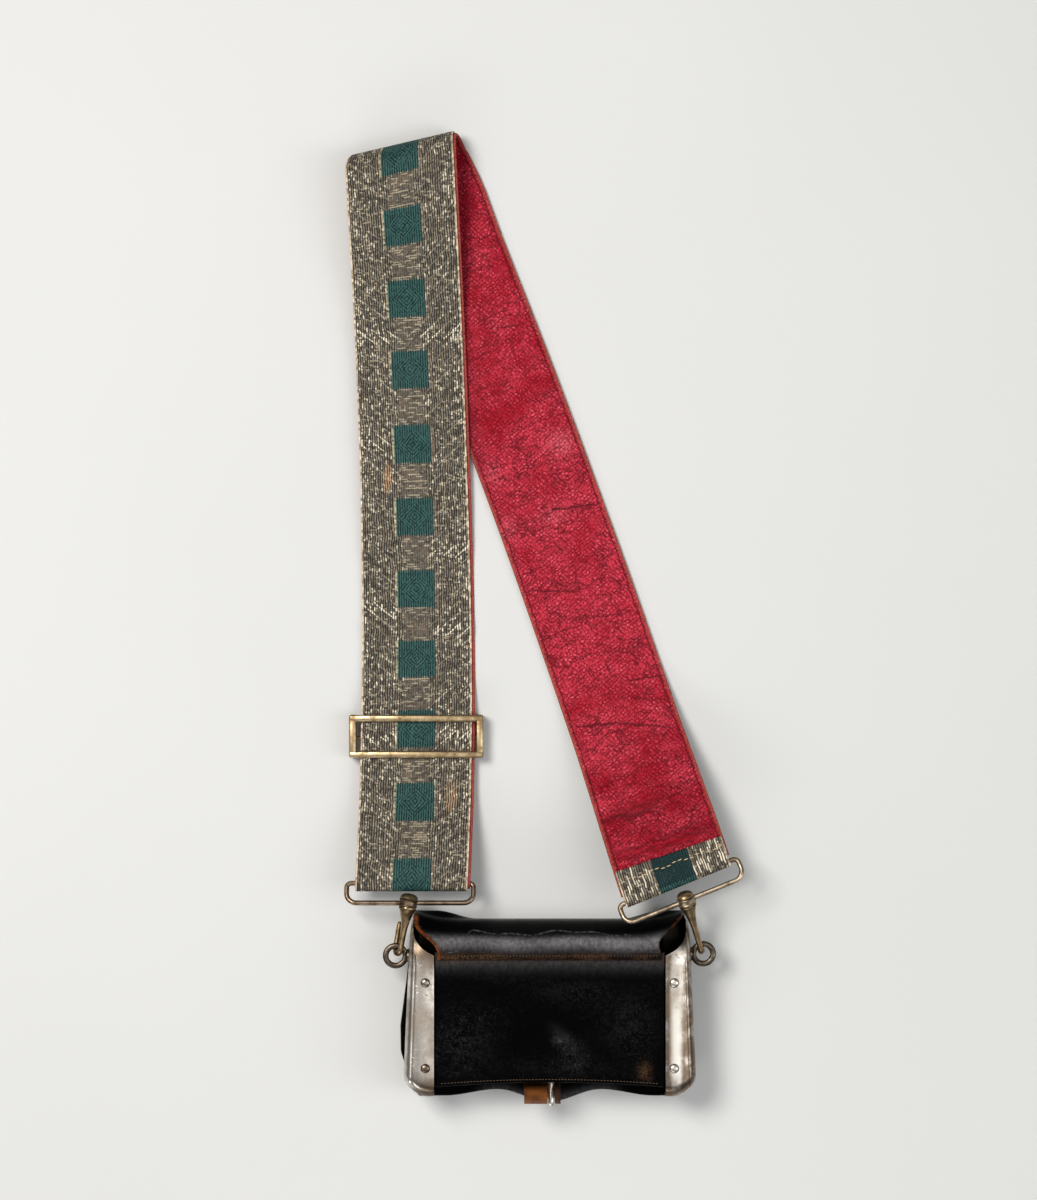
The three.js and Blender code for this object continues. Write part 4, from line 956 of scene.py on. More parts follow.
def edge_share(rows, columns, row_edge, column_edge):
    """1 on a sheet's cut edge and 0 inside, from the distances to its edges."""
    near_row = np.clip(1 - rows / row_edge, 0, 1)[:, None]
    near_column = np.clip(1 - columns / column_edge, 0, 1)[None, :]
    return np.maximum(near_row, near_column)


def ripple(x, y, size):
    """A slow, uneven swell of worked leather."""
    return size * (
        np.sin(x * 0.11 + y * 0.05 + 1.3) * np.sin(y * 0.13 - x * 0.03)
        + 0.5 * np.sin(x * 0.31 - y * 0.17 + 0.6) * np.sin(y * 0.27 + 2.1)
    )


def spot_share(x, y, spot):
    """1 in the middle of a round spot, falling off to 0: spot holds its place and its half sizes."""
    return np.exp(-((x - spot[0]) / spot[2]) ** 2 - ((y - spot[1]) / spot[3]) ** 2)


def sheet_piece(name, points, edges, half, material, node, skip=None, extra=None, raw=1):
    """A leather sheet with rounded edges: edges holds each row's and column's distance to its edge.

    raw says how far the cut edges show their brown inside.
    """
    row_distance, column_distance = edges
    full = edge_profile(row_distance, half)[:, None] * edge_profile(column_distance, half)[None, :]
    share = edge_share(row_distance, column_distance, half * 1.3, half * 1.3)
    vertices, faces = sheet_solid(points, grid_normals(points), half * full, skip)
    attributes = {"raw": np.concatenate([(share * raw).ravel()] * 2)}
    for key, values in (extra or {}).items():
        attributes[key] = np.concatenate([values.ravel()] * 2)
    return new_piece(name, vertices, faces, material, node, attributes, sharp=60)


def back_panel(material):
    half = LEATHER / 2
    top_z = CASE_BACK_Z - CAP_WALL - SEAT
    columns = edge_samples(CAP_RIM_X - 0.4, half, 1.4)
    rows = edge_samples(0.5, half / (PANEL_TOP_Y - PANEL_BOTTOM_Y), 1 / 60) + 0.5
    x, share = np.meshgrid(columns, rows)
    bottom = PANEL_BOTTOM_Y + bottom_bow(x)
    y = mixed(bottom, PANEL_TOP_Y, share)
    z = top_z - half + ripple(x, y, 0.12)
    points = np.stack([x, y, z], axis=2)
    # A painted sheen streak across the panel, and scuffs below the seam
    streak_along = (x - SHEEN[0]) * SHEEN[2] + (y - SHEEN[1]) * SHEEN[3]
    streak_off = (y - SHEEN[1]) * SHEEN[2] - (x - SHEEN[0]) * SHEEN[3]
    streak = np.exp(-(streak_along / 7.5) ** 2 - (streak_off / 2.6) ** 2)
    below_seam = 0.75 * np.exp(-((y - LID_SEAM_Y) / 5) ** 2)
    extra = {
        "scuff_and_sheen": np.clip(0.07 * streak + 0.26 * below_seam, 0, 1),
        "brown": 0.75 * spot_share(x, y, BROWN_SPOT) + 0.5 * smooth((y - LID_SEAM_Y + 2.6) / 2),
        "wear_and_painted_light": sum(patch[4] * spot_share(x, y, patch) for patch in RUBBED_AND_SHEEN_PATCHES),
    }
    length = PANEL_TOP_Y - PANEL_BOTTOM_Y
    edges = (np.minimum(rows, 1 - rows) * length, CAP_RIM_X - 0.4 - np.abs(columns))
    sheet_piece(
        "back_panel_leather", points, edges, half, material, "back_panel",
        extra=extra, raw=0.4,
    )


def case_wrap(material):
    half = LEATHER / 2
    back_z = CASE_BACK_Z - CAP_WALL - LEATHER - 2 * SEAT - half
    front_z = WRAP_FRONT_Z + half
    columns = edge_samples(WRAP_HALF_WIDTH, half, 3)
    sections = []
    for x in columns:
        lift = np.interp(abs(x), [56, 60, 64], [0, 0.6, 2.4])
        bottom = WRAP_BOTTOM_Y + lift + bottom_bow(x) + half
        bend = bottom + WRAP_BEND
        side = np.concatenate([
            np.linspace([WRAP_HEM_Y, back_z], [bend, back_z], 8),
            arc_points(bend, back_z - WRAP_BEND, WRAP_BEND, 90, 180, 10)[1:],
            np.linspace([bottom, back_z - WRAP_BEND], [bottom, front_z + WRAP_BEND], 12)[1:],
            arc_points(bend, front_z + WRAP_BEND, WRAP_BEND, 180, 270, 10)[1:],
            np.linspace([bend, front_z], [WRAP_MOUTH_Y, front_z], 30)[1:],
        ])
        sections.append(np.column_stack([np.full(len(side), x), side]))
    points = np.stack(sections, axis=1)
    run = run_along(points[:, len(columns) // 2])
    edges = (np.minimum(run, run[-1] - run), WRAP_HALF_WIDTH - np.abs(columns))
    sheet_piece("case_wrap_leather", points, edges, half, material, "case_wrap", raw=0.3)


def bezier(p0, p1, p2, p3, count):
    t = np.linspace(0, 1, count)[:, None]
    p0, p1, p2, p3 = (np.asarray(p, float) for p in (p0, p1, p2, p3))
    return (1 - t) ** 3 * p0 + 3 * (1 - t) ** 2 * t * p1 + 3 * (1 - t) * t * t * p2 + t ** 3 * p3


def lid_path():
    half = LEATHER / 2
    seam_z = CASE_BACK_Z - CAP_WALL + half
    hinge_y = CASE_TOP_Y - CASE_SHOULDER
    hinge_z = CASE_BACK_Z - CASE_SHOULDER
    top_y = hinge_y + LID_HINGE_RADIUS
    roll = arc_points(hinge_y, hinge_z, LID_HINGE_RADIUS, 72, 0, 28)
    start = roll[0]
    bulge = bezier(
        (LID_SEAM_Y, seam_z), (LID_SEAM_Y + 3, seam_z), (start[0] - 3.4, start[1] + 1.1), start, 14,
    )
    bend = half + LID_FRONT_BEND
    return np.concatenate([
        bulge,
        roll[1:],
        np.linspace([top_y, hinge_z], [top_y, bend], 6)[1:],
        arc_points(top_y - LID_FRONT_BEND, bend, LID_FRONT_BEND, 0, -90, 12)[1:],
        np.linspace([top_y - LID_FRONT_BEND, half], [LID_EDGE_Y, half], 54)[1:],
    ])


def tongue(x):
    reach = np.minimum(np.abs(x) / TONGUE_HALF_WIDTH, 1)
    corner = smooth((np.abs(x) - TONGUE_HALF_WIDTH) / TONGUE_HALF_WIDTH)
    return TONGUE_DEPTH * 0.5 * (1 + np.cos(math.pi * reach)) + LID_CORNER_DROP * corner


def lid(material):
    half = LEATHER / 2
    path = lid_path()
    run = run_along(path)
    end_rows = half * np.array([0, 0.1, 0.35, 0.7])
    run_fine = np.unique(np.concatenate([run, end_rows, run[-1] - end_rows]))
    path = np.stack([np.interp(run_fine, run, path[:, i]) for i in range(2)], axis=1)
    columns = edge_samples(1, half / 66, 1 / 45)
    column, y = np.meshgrid(columns, path[:, 0])
    z = np.repeat(path[:, 1][:, None], len(columns), axis=1)
    left = np.interp(run_fine, LID_ALONG, LID_LEFT)[:, None]
    right = np.interp(run_fine, LID_ALONG, LID_RIGHT)[:, None]
    x = column * np.where(column < 0, left, right)
    # Low down, the lid sags only between the end caps
    between = smooth((LID_SAG_HALF_WIDTH - np.abs(x)) / 20)
    dip = mixed(between, 1 - column ** 6, smooth((z - 7) / 8))
    sag = LID_TOP_SAG * dip * smooth((y - CASE_TOP_Y + 14) / 14)
    tongue_start = LID_EDGE_Y + 12
    share = np.clip((tongue_start - y) / (tongue_start - LID_EDGE_Y), 0, 1) * (z < LEATHER)
    folds = ripple(x, run_fine[:, None] * 1.5, 0.1) * smooth((z - 4) / 6)
    points = np.stack([x, y - sag - tongue(x) * share, z + folds], axis=2)
    edges = (np.minimum(run_fine, run_fine[-1] - run_fine), (1 - np.abs(columns)) * 66)
    crease_at = 34.6 + 0.8 * np.sin(x * 0.13 + 0.4) + 0.45 * np.sin(x * 0.31 + 1)
    # The crease with its painted highlight: below a half on its seam side, above it beyond, and past its ends
    crease_side = 0.5 + (points[..., 1] - crease_at) / 8 + 1 - smooth((46 - np.abs(x)) / 8)
    crease_side = np.where(z > 10, np.clip(crease_side, 0, 1), 1)
    # A painted highlight along the roll by the seam, uneven across the lid
    uneven = 1 + 0.16 * np.sin(x * 0.09 - 0.6) * np.sin(x * 0.045 + 1.2) + 0.1 * np.sin(x * 0.23)
    roll = uneven * np.exp(-((run_fine[:, None] - 9 - 0.6 * np.sin(x * 0.12)) / 3.6) ** 2)
    # The left edge shows a broad band of raw leather down from the seam, the right edge a narrow one
    side_band = np.where(column < 0, 3.2, 1.4)
    side_share = np.where(column < 0, 1, 0.6)
    raw_side = np.clip(1.25 - (1 - np.abs(column)) * 66 / side_band, 0, 1) * side_share
    raw_side = raw_side * smooth((46 - run_fine[:, None]) / 20)
    # A painted highlight along the tongue's edge
    tongue_edge = smooth((4 - run_fine[-1] + run_fine[:, None]) / 4) * smooth((40 - np.abs(x)) / 14)
    extra = {
        "scuff_and_sheen": 0.78 * roll + 0.3 * tongue_edge,
        "crease_side": crease_side,
        "brown": np.clip(1.15 - run_fine[:, None] / 4.5, 0, 1) * np.ones_like(x),
        "worn_raw": raw_side,
    }
    sheet_piece("lid_leather", points, edges, half, material, "lid", extra=extra, raw=0.6)


def closing_tab(material):
    half = TAB_LEATHER / 2
    root_z = LEATHER + SEAT + half
    bend = WRAP_FRONT_Z + 2 * WRAP_BEND - root_z - half
    bottom = WRAP_BOTTOM_Y - 2 * SEAT - half
    flare_t = np.linspace(0, 1, 24)[:, None]
    a, b, c = (np.array(p) for p in (
        (bottom, TAB_FLARE_START_Z), (bottom - 0.6, TAB_FLARE_START_Z + 6), (TAB_END_Y, TAB_END_Z),
    ))
    flare = (1 - flare_t) ** 2 * a + 2 * (1 - flare_t) * flare_t * b + flare_t ** 2 * c
    path = np.concatenate([
        np.linspace([TAB_ROOT_Y, root_z], [bottom + bend, root_z], 12),
        arc_points(bottom + bend, root_z + bend, bend, 270, 180, 14)[1:],
        np.linspace([bottom, root_z + bend], [bottom, TAB_FLARE_START_Z], 14)[1:],
        flare[1:],
    ])
    slit_x = STUD_X - TAB_X
    columns = np.unique(np.concatenate([
        edge_samples(TAB_HALF_WIDTH, half, 0.8), slit_x + np.array([-1, 1]) * TAB_SLIT_WIDTH / 2,
    ]))
    points = np.stack([np.column_stack([np.full(len(path), TAB_X + x), path]) for x in columns], axis=1)
    run = run_along(path)
    middle_z = (path[:-1, 1] + path[1:, 1]) / 2
    middle_x = (columns[:-1] + columns[1:]) / 2
    in_slit = (middle_z > TAB_SLIT_FROM_Z) & (path[:-1, 0] < bottom + 2)
    skip = in_slit[:, None] & (np.abs(middle_x - slit_x) < TAB_SLIT_WIDTH / 2)[None, :]
    edges = (np.minimum(run, run[-1] - run), TAB_HALF_WIDTH - np.abs(columns))
    extra = {"across": points[..., 0]}
    sheet_piece(
        "closing_tab_leather", points, edges, half, material, "closing_tab", skip, extra,
    )


def closing_stud(material):
    base = [STUD_X, WRAP_BOTTOM_Y + bottom_bow(0) - 0.05, STUD_Z]
    vertices, faces = ring_solid(lathe(base, [0, -1, 0], STUD_ALONG, STUD_RADII, 24))
    new_piece("closing_stud_turned", vertices, faces, material, "closing_stud")


# Belt


class Leg:
    """One leg of the belt in plan, from the bar of its loop to the fold."""

    def __init__(self, side, spec, widths, heading, skew):
        across, _, _, _, bar = loop_frame(side)
        start = bar[:2] + spec["shift"] * across[:2]
        axis = np.array([math.cos(math.radians(FOLD_TURN)), math.sin(math.radians(FOLD_TURN))])
        quarter = math.pi / 2 * FOLD_RADIUS * math.sin(skew)
        end = np.array([
            FOLD_TOP[0] + FOLD_RADIUS * axis[1] - quarter * axis[0],
            FOLD_TOP[1] - FOLD_RADIUS * axis[0] - quarter * axis[1],
        ])
        handle = np.linalg.norm(end - start) / 3
        first = self.away(spec["heading"]) * handle
        last = self.away(heading) * handle
        self.points = bezier(start, start + first, end - last, end, 1201)
        self.run = run_along(self.points)
        self.length = self.run[-1]
        self.tangents = np.gradient(self.points, self.run, axis=0)
        self.bar_z = bar[2]
        self.skew = skew
        self.start_skew = math.radians(side["turn"] - spec["heading"])
        self.spec = spec
        self.widths = np.array(widths, float)

    @staticmethod
    def away(degrees):
        return np.array([-math.sin(math.radians(degrees)), math.cos(math.radians(degrees))])

    def station(self, along, height):
        inside = min(max(along, 0), self.length)
        at = np.array([np.interp(inside, self.run, self.points[:, i]) for i in range(2)])
        tangent = unit(np.array([np.interp(inside, self.run, self.tangents[:, i]) for i in range(2)]))
        at = at + tangent * (along - inside)
        skew = self.skew * float(smooth(1 - (self.length - along) / self.spec["skew_length"]))
        turned = float(smooth((along - self.spec["square_length"]) / self.spec["square_fade"]))
        skew += self.start_skew * (1 - turned)
        angle = math.atan2(tangent[1], tangent[0]) - math.pi / 2 + skew
        across = np.array([math.cos(angle), math.sin(angle), 0]) / math.cos(skew)
        width = [np.interp(along, self.widths[:, 0], self.widths[:, i]) for i in (1, 2, 3)]
        return np.array([at[0], at[1], height]), across, width


def height_at(table, along):
    runs = [row[0] for row in table]
    heights = [row[1] for row in table]
    i = int(np.clip(np.searchsorted(runs, along), 1, len(runs) - 1))
    share = float(smooth((along - runs[i - 1]) / (runs[i] - runs[i - 1])))
    return mixed(heights[i - 1], heights[i], share)


skew_angle = math.radians(FOLD_SKEW)
left_leg = Leg(SIDES["left"], LEFT_LEG, LEFT_WIDTHS, FOLD_TURN - FOLD_SKEW, skew_angle)
right_leg = Leg(SIDES["right"], RIGHT_LEG, RIGHT_WIDTHS, FOLD_TURN + FOLD_SKEW, -skew_angle)
over_lining = LINING_ON_FLOOR + SEWN_GAP
loop_wrap = LOOP_WIRE + SEAT + LINING + SEWN_GAP / 2
lace_wrap = LOOP_WIRE + SEAT - SEWN_GAP / 2
slider_wrap = SLIDER_CENTRE_RADIUS + SEAT - SEWN_GAP / 2
fold_top_z = LACE_ON_FLOOR + 2 * FOLD_RADIUS
on_lower_leg = LACE_ON_FLOOR + LINING_ON_FLOOR + SEAT + LINING_ON_FLOOR
over_tail = SLIDER_CENTRE_Z + slider_wrap + LACE_ON_FLOOR + SEAT + LINING_ON_FLOOR
LEFT_HEIGHTS = [
    (0, left_leg.bar_z + loop_wrap), (SLIDER_AT - 22, over_tail), (SLIDER_AT + 2, over_tail + 0.1),
    (SLIDER_AT + 32, LINING_ON_FLOOR), (146, LINING_ON_FLOOR), (200, on_lower_leg + 0.2),
    (262, on_lower_leg + 0.8), (left_leg.length, fold_top_z),
]
TAIL_HEIGHTS = [
    (0, left_leg.bar_z - loop_wrap), (SLIDER_AT - 26, LACE_ON_FLOOR), (SLIDER_AT, LACE_ON_FLOOR),
]
RIGHT_HEIGHTS = [
    (0, right_leg.bar_z - lace_wrap), (112, LACE_ON_FLOOR), (right_leg.length, LACE_ON_FLOOR),
]
# Creases of the lining, sunk and painted dark as shade: across and distance from the right loop at both ends,
# strength and width
LINING_CREASES = [
    (-27, 41, 3, 36.4, 1, 1.2), (4, 48.3, 28, 43.5, 0.7, 0.9), (4, 44.5, 23, 38, 0.55, 0.9),
    (-26, 22.8, 6, 22.4, 0.75, 0.8), (3, 26.8, 28, 18.8, 0.85, 0.8), (7, 23.6, 28, 15.4, 0.75, 0.8),
    (13, 26, 28, 21.4, 0.55, 0.7), (-26, 18.6, 6, 18, 0.65, 0.7), (-27, 31, 2, 29.5, 0.45, 0.9),
    (-26, 57, 12, 61, 0.4, 1.2),
]
# Thin creases further up the lining, painted dark as shade: across and distance from the right loop at both
# ends, and strength
LINING_LINES = [
    (0, 197.5, 25.5, 192.4, 0.85), (-25, 163.4, 1.5, 154.2, 0.7), (11.4, 103.6, 28, 101.3, 0.75),
    (-23, 90, -2, 85.5, 0.8), (-3, 85.6, 24, 74, 0.75), (8, 96, 26, 88, 0.5), (-22, 214, -4, 206, 0.4),
    (-8, 143, 20, 136, 0.55), (2, 122, 27, 118, 0.5),
]
# Hollows of the lining, painted dark as shade and without grain: across, distance from the right loop, half
# sizes and strength
LINING_HOLLOWS = [
    (-6, 41.6, 11, 2.6, 1), (7, 19.2, 13, 2, 1), (-20, 20.4, 8, 1.8, 0.6), (16, 22.6, 9, 1.6, 0.6),
]
# Leather that lies beside and below the upper leg, painted dark as its shade: the same columns
LINING_SHADE = [
    (-27.5, 236, 3, 14, 0.5), (-23, 262, 5, 18, 0.7), (-15.5, 290, 7, 20, 0.7), (-6, 318, 6, 14, 0.45),
]
# Pale worn spots of the lining: the same columns
LINING_WORN = [(18, 227, 7, 6, 0.9), (2, 194, 8, 5, 0.5), (-23, 196, 4, 5, 0.6), (-21, 224, 4, 6, 0.6)]
# Soft cross creases of the upper leg: place along it, height and half width
CREASES = [(126, 0.7, 4), (168, 0.5, 6), (222, 0.9, 4), (276, 0.8, 5), (312, 0.6, 5)]
STEP = 1.5
FINE_STEP = 0.6
FINE_REACH = 66


def crease(along):
    return sum(height * math.exp(-((along - at) / width) ** 2) for at, height, width in CREASES)


def leg_run(leg, table, end, creased=False):
    count = int(end / STEP) + 1
    runs = np.linspace(0, end, count)
    return [leg.station(a, height_at(table, a) + (crease(a) if creased else 0)) for a in runs]


def leg_turn(leg, along, z, radius, start, end, count):
    angles = np.radians(np.linspace(start, end, count + 1)[1:-1])
    return [leg.station(along + radius * math.cos(a), z + radius * math.sin(a)) for a in angles]


def fold():
    turn = math.radians(FOLD_TURN)
    axis = np.array([math.cos(turn), math.sin(turn), 0])
    outward = np.array([-axis[1], axis[0], 0])
    top = np.array([FOLD_TOP[0], FOLD_TOP[1], 0]) - outward * FOLD_RADIUS
    stations = []
    for angle in np.linspace(math.pi / 2, -math.pi / 2, 31)[1:-1]:
        at = top + outward * FOLD_RADIUS * math.cos(angle)
        at = at - axis * FOLD_RADIUS * angle * math.sin(skew_angle)
        at[2] = LACE_ON_FLOOR + FOLD_RADIUS * (1 + math.sin(angle))
        drawn_in = FOLD_CORNER * math.cos(angle) ** 4 / 2
        lace_half, lining_half, shift = LEFT_WIDTHS[-1][1:]
        widths = (lace_half - drawn_in, lining_half - drawn_in, shift)
        stations.append((at + axis * drawn_in, axis / math.cos(skew_angle), widths))
    return stations


def right_hem():
    stations = []
    for along in np.linspace(0, HEM_LENGTH, 22):
        opening = (2 * lace_wrap - over_lining) * (1 - float(smooth(along / 8)))
        stations.append(right_leg.station(along, height_at(RIGHT_HEIGHTS, along) + over_lining + opening))
    return stations


tail_run = leg_run(left_leg, TAIL_HEIGHTS, SLIDER_AT)[::-1]
loop_turn = leg_turn(left_leg, 0, left_leg.bar_z, loop_wrap, 270, 90, 20)
left_run = leg_run(left_leg, LEFT_HEIGHTS, left_leg.length, creased=True)
# The right leg is drawn finely where its lining is creased
right_places = np.concatenate([
    np.arange(0, FINE_REACH, FINE_STEP), np.linspace(FINE_REACH, right_leg.length, 200),
])
right_run = [right_leg.station(a, height_at(RIGHT_HEIGHTS, a)) for a in right_places[::-1]]
lining_places = right_places[right_places > LINING_END + FINE_STEP]
lining_run = [right_leg.station(a, height_at(RIGHT_HEIGHTS, a)) for a in lining_places[::-1]]
slider_level = SLIDER_CENTRE_Z + slider_wrap
slider_hem = [left_leg.station(SLIDER_AT - back, slider_level) for back in np.linspace(SLIDER_HEM, 0, 12)]
lace_before = slider_hem
lace_before += leg_turn(left_leg, SLIDER_AT, SLIDER_CENTRE_Z, slider_wrap, 90, -90, 12)
lace_before += tail_run + loop_turn
lace_after = left_run + fold() + right_run
lace_after += leg_turn(right_leg, 0, right_leg.bar_z, lace_wrap, 270, 90, 12) + right_hem()
lining_end = right_leg.station(LINING_END, height_at(RIGHT_HEIGHTS, LINING_END))
lining_start = left_leg.station(SLIDER_AT - LINING_TAIL_GAP, LACE_ON_FLOOR)
lining_before = [lining_start] + tail_run[4:] + loop_turn
lining_after = left_run + fold() + lining_run + [lining_end]


def band(stations, origin, half_width, offset, half, step, swell=None):
    """Points, normals and belt coordinates of a band along stations; origin is the station at zero."""
    at = np.array([station[0] for station in stations])
    across = np.array([station[1] for station in stations])
    runs = run_along(at)
    runs = runs - runs[origin]
    normals = np.cross(across, np.gradient(at, axis=0))
    normals = normals / np.linalg.norm(normals, axis=1, keepdims=True)
    columns = edge_samples(half_width, half, step)
    widths = np.array([station[2] for station in stations])
    scale = widths[:, 0] / half_width if offset > 0 else widths[:, 1] / half_width
    shift = np.zeros(len(stations)) if offset > 0 else widths[:, 2]
    centre = at + normals * offset + shift[:, None] * across
    points = centre[:, None, :] + (scale[:, None] * columns)[..., None] * across[:, None, :]
    u, v = np.meshgrid(columns, runs)
    if swell is not None:
        points = points + normals[:, None, :] * swell(u, runs[-1] - v)[..., None]
    ends = np.minimum(runs - runs[0], runs[-1] - runs)
    thick = edge_profile(ends, half)[:, None] * edge_profile(half_width - np.abs(columns), half)[None, :]
    grid = np.repeat(normals[:, None, :], len(columns), axis=1)
    vertices, faces = sheet_solid(points, grid, half * thick)
    coordinates = {"across": np.tile(u.ravel(), 2), "along": np.tile(v.ravel(), 2)}
    return vertices, faces, coordinates, runs


def lining_creases(u, to_end):
    """1 along the sharp creases of the lining above the right hem, falling off to 0 beside them."""
    reach = to_end + LINING_END
    depth = np.zeros_like(u)
    for from_u, from_reach, to_u, to_reach, strength, width in LINING_CREASES:
        share = np.clip((u - from_u) / (to_u - from_u), 0, 1)
        line = mixed(from_reach, to_reach, share) + 0.7 * np.sin(u * 0.45 + from_reach)
        beyond = np.maximum(np.maximum(from_u - u, u - to_u), 0)
        near = np.exp(-((reach - line) / width) ** 2 - (beyond / 3) ** 2)
        depth = np.maximum(depth, strength * near * (0.4 + 0.6 * np.sin(math.pi * share) ** 0.5))
    return depth


def lining_swell(u, to_end):
    """Leather that has crept: soft swells above the right hem, parted by its creases."""
    reach = to_end + LINING_END
    swell = 1.1 * np.exp(-((reach - 32) / 6) ** 2) + 0.8 * np.exp(-((reach - 50) / 8) ** 2)
    swell += 0.6 * np.exp(-((reach - 20.6) / 3) ** 2)
    waves = np.sin(reach * 0.9 + 1.5 * np.sin(u * 0.21)) * np.sin(u * 0.17 + reach * 0.05)
    swell += 0.25 * np.exp(-((reach - 40) / 22) ** 2) * np.maximum(waves, 0)
    return -np.maximum(swell - 1.1 * lining_creases(u, to_end), 0) * smooth((reach - 15) / 4)


def belt():
    hem_middle = len(lace_before) + len(lace_after) - 11
    offset = SEWN_GAP / 2 + LACE / 2
    vertices, faces, coordinates, runs = band(
        lace_before + lace_after, len(lace_before), LACE_HALF_WIDTH, offset, LACE / 2, 1,
    )
    hem_run = runs[hem_middle]
    pitch = (hem_run - FIRST_SQUARE_AT) / SQUARES_ON_BELT
    coordinates["squares"] = np.interp(
        coordinates["along"],
        (runs[0], *SQUARES_FROM, hem_run, runs[-1]),
        (runs[0], *SQUARES_TO, hem_run, runs[-1]),
    )
    woven = new_piece(
        "belt_lace_woven", vertices, faces, lace(pitch, runs[-1] - HEM_LENGTH),
        "belt_lace", coordinates,
        sharp=60,
    )
    offset = -SEWN_GAP / 2 - LINING / 2
    vertices, faces, coordinates, runs = band(
        lining_before + lining_after, len(lining_before), LINING_HALF_WIDTH,
        offset, LINING / 2, 1.2, lining_swell,
    )
    to_end = runs[-1] - coordinates["along"]
    coordinates["crease"] = lining_creases(coordinates["across"], to_end)
    reach = to_end + LINING_END
    # Hollows and the leather beside the upper leg are painted dark as shade; the worn spots are pale
    for key, spots in (("hollow_shade", LINING_HOLLOWS), ("darkening", LINING_SHADE), ("worn", LINING_WORN)):
        coordinates[key] = sum(spot[4] * spot_share(coordinates["across"], reach, spot) for spot in spots)
    lined = new_piece(
        "belt_lining_leather", vertices, faces, red_leather(runs[-1]),
        "belt_lining", coordinates,
        sharp=60,
    )


def slider(material):
    half_width = SLIDER_WIDTH / 2
    half_height = SLIDER_HEIGHT / 2
    middle_z = SLIDER_BAR_Z + SLIDER_BAR_HEIGHT / 2
    low = SLIDER_CENTRE_Z - SLIDER_CENTRE_RADIUS
    parts = []
    for side in (-1, 1):
        parts.append(soft_box(
            (SLIDER_WIDTH, SLIDER_BAR, SLIDER_BAR_HEIGHT),
            (0, side * (half_height - SLIDER_BAR / 2), middle_z), 0.9,
        ))
        parts.append(soft_box(
            (SLIDER_POST, SLIDER_HEIGHT - 0.1, SLIDER_BAR_Z + SLIDER_BAR_HEIGHT - low - 0.1),
            (side * (half_width - SLIDER_POST / 2), 0, (SLIDER_BAR_Z + SLIDER_BAR_HEIGHT - 0.1 + low) / 2),
            0.9,
        ))
    frame_vertices, frame_faces = merged(parts)
    at, across, _ = left_leg.station(SLIDER_AT, 0)
    across = unit(across)
    reach = half_width - SLIDER_POST / 2
    start = at - across * reach + np.array([0, 0, SLIDER_CENTRE_Z])
    centre = ring_solid(lathe(start, across, [0, 2 * reach], [SLIDER_CENTRE_RADIUS] * 2, 16))
    # The frame lies level; its bar lies square to the belt's end, which is wrapped round it
    vertices, faces = merged([(at + frame_vertices, frame_faces), centre])
    new_piece("slider_frame", vertices, faces, material, "slider")


# Stitches


def stitch_row(name, places, directions, length, width, material):
    """Short stitches raised towards +Z, each a small pod lying along its direction."""
    parts = []
    bow = np.linspace(-1, 1, 7)
    rise = np.array([0, 0, width * 0.5])
    radii = [width / 2 * math.sqrt(max(1 - (b * 0.98) ** 2, 0.03)) for b in bow]
    for place, direction in zip(places, directions):
        direction = unit(np.asarray(direction, float))
        centres = [place + direction * length / 2 * b + rise * (1 - b * b) for b in bow]
        parts.append(ring_solid(round_bar(centres, radii, 8)))
    vertices, faces = merged(parts)
    return new_piece(name, vertices, faces, material, None)


def hem_stitches(material):
    places = []
    directions = []
    for across in np.arange(-25.5, 25.6, HEM_STITCH_PITCH):
        along = HEM_LENGTH - 5 + 0.6 * math.sin(across * 0.5)
        lace_top = height_at(RIGHT_HEIGHTS, along) + over_lining + SEWN_GAP / 2 + LACE
        at, width, _ = right_leg.station(along, lace_top)
        places.append(at + width * across + np.array([0, 0, -0.05]))
        directions.append(width + np.array([0, 0.12 * math.sin(across * 1.7), 0]))
    stitch_row("hem_stitches", places, directions, 2.3, 0.55, material)


def case_stitches(material):
    panel_z = CASE_BACK_Z - CAP_WALL
    columns = np.arange(-53, 53.1, CASE_STITCH_PITCH)
    places = [np.array([x, LID_SEAM_Y + 2.1, panel_z + LEATHER + 0.02]) for x in columns]
    places += [np.array([x, PANEL_BOTTOM_Y + bottom_bow(x) + 1.6, panel_z - SEAT]) for x in columns]
    directions = [[1, 0, 0]] * len(places)
    stitch_row("case_stitches", places, directions, 1.15, 0.42, material)


# Stage


def floor_material():
    g = Graph("pale_floor")
    mottled = g.noise(g.place(), 3, 3)
    return g.finish(g.mix(mottled, tone(206, 206, 203), tone(214, 214, 212)), 0.85)


def stage():
    reach = 6
    mesh = bpy.data.meshes.new("floor")
    corners = [(-reach, -reach, 0), (reach, -reach, 0), (reach, reach, 0), (-reach, reach, 0)]
    mesh.from_pydata(corners, [], [(0, 1, 2, 3)])
    mesh.materials.append(floor_material())
    floor = bpy.data.objects.new("floor", mesh)
    bpy.context.scene.collection.objects.link(floor)


def area_light(name, place_mm, target_mm, size_mm, watts, color):
    data = bpy.data.lights.new(name, "AREA")
    data.shape = "RECTANGLE"
    data.size = size_mm[0] * MM
    data.size_y = size_mm[1] * MM
    data.energy = watts
    data.color = color
    light = bpy.data.objects.new(name, data)
    light.location = Vector(place_mm) * MM
    light.rotation_euler = (Vector(target_mm) - Vector(place_mm)).to_track_quat("-Z", "Y").to_euler()
    bpy.context.scene.collection.objects.link(light)


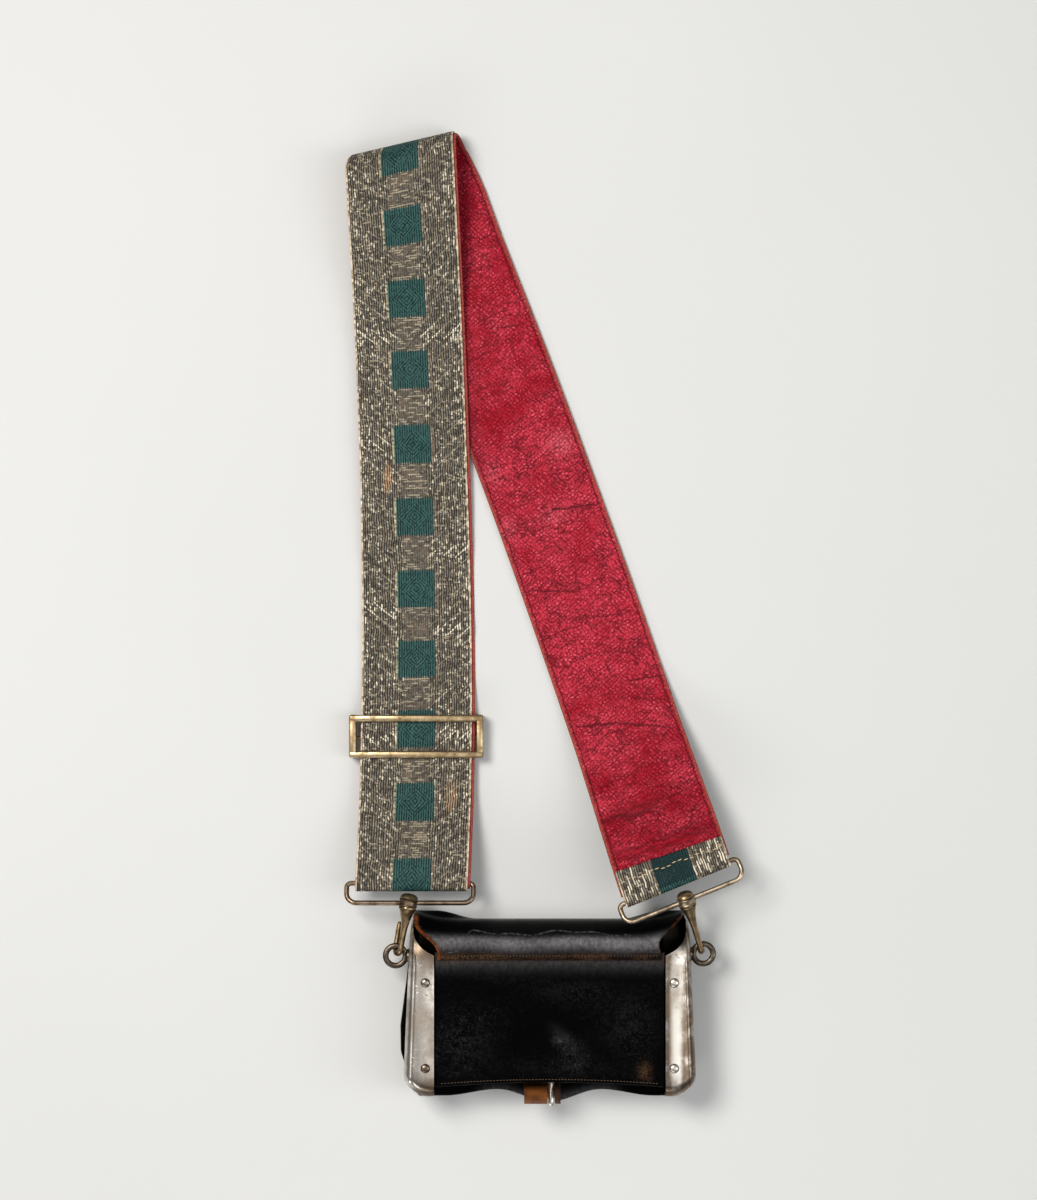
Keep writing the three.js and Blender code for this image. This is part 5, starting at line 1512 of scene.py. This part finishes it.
def lights():
    target = (-15, 190, 0)
    area_light("key", (-800, 700, 1700), target, (700, 700), 33, (1, 0.98, 0.95))
    area_light("top", (600, -200, 2050), target, (1200, 1200), 7, (1, 1, 1))
    area_light("fill", (1300, -100, 1300), target, (700, 1200), 9, (0.96, 0.98, 1))
    area_light("low", (-500, -1300, 800), target, (1400, 400), 7, (1, 1, 1))
    world = bpy.data.worlds.new("studio")
    world.use_nodes = True
    background = world.node_tree.nodes["Background"]
    background.inputs["Color"].default_value = (0.9, 0.93, 1, 1)
    background.inputs["Strength"].default_value = 0.16
    bpy.context.scene.world = world
    bpy.context.scene.view_settings.view_transform = "Standard"


def camera():
    data = bpy.data.cameras.new("photo_camera")
    data.sensor_width = SENSOR_MM
    data.lens = SENSOR_MM * CAMERA_HEIGHT_MM / (PHOTO_HEIGHT_PX * PIXEL_MM)
    data.clip_end = 20
    view = bpy.data.objects.new("photo_camera", data)
    view.location = (VIEW_CENTRE_MM[0] * MM, VIEW_CENTRE_MM[1] * MM, CAMERA_HEIGHT_MM * MM)
    bpy.context.scene.collection.objects.link(view)
    bpy.context.scene.camera = view


black = black_leather()
metal = white_metal()
LOOP_BRASS = {
    "left": brass("brown_brass", (150, 130, 108), (88, 72, 57)),
    "right": brass("pale_brass", (196, 178, 152), (112, 97, 78)),
}
hook_brass = brass("hook_brass", (172, 148, 112), (98, 80, 55))
eye_brass = brass("dark_brass", (108, 97, 84), (58, 50, 42))
camera()
lights()
stage()
back_panel(black)
case_wrap(black)
lid(black)
closing_tab(tan_leather())
closing_stud(metal)
for side_name, side_values in SIDES.items():
    end_cap(side_name, side_values, metal)
    eye(side_name, side_values, eye_brass)
    hook(side_name, side_values, hook_brass)
    loop(side_name, side_values, LOOP_BRASS[side_name])
    for row_name, row_y in RIVET_ROWS.items():
        rivet(side_name, side_values, row_name, row_y, metal)
belt()
slider(brass("slider_brass", (196, 174, 136), (138, 116, 84)))
hem_stitches(thread("cream_thread", tone(226, 206, 166), tone(160, 134, 96)))
case_stitches(thread("brown_thread", tone(98, 75, 53), tone(44, 31, 22)))
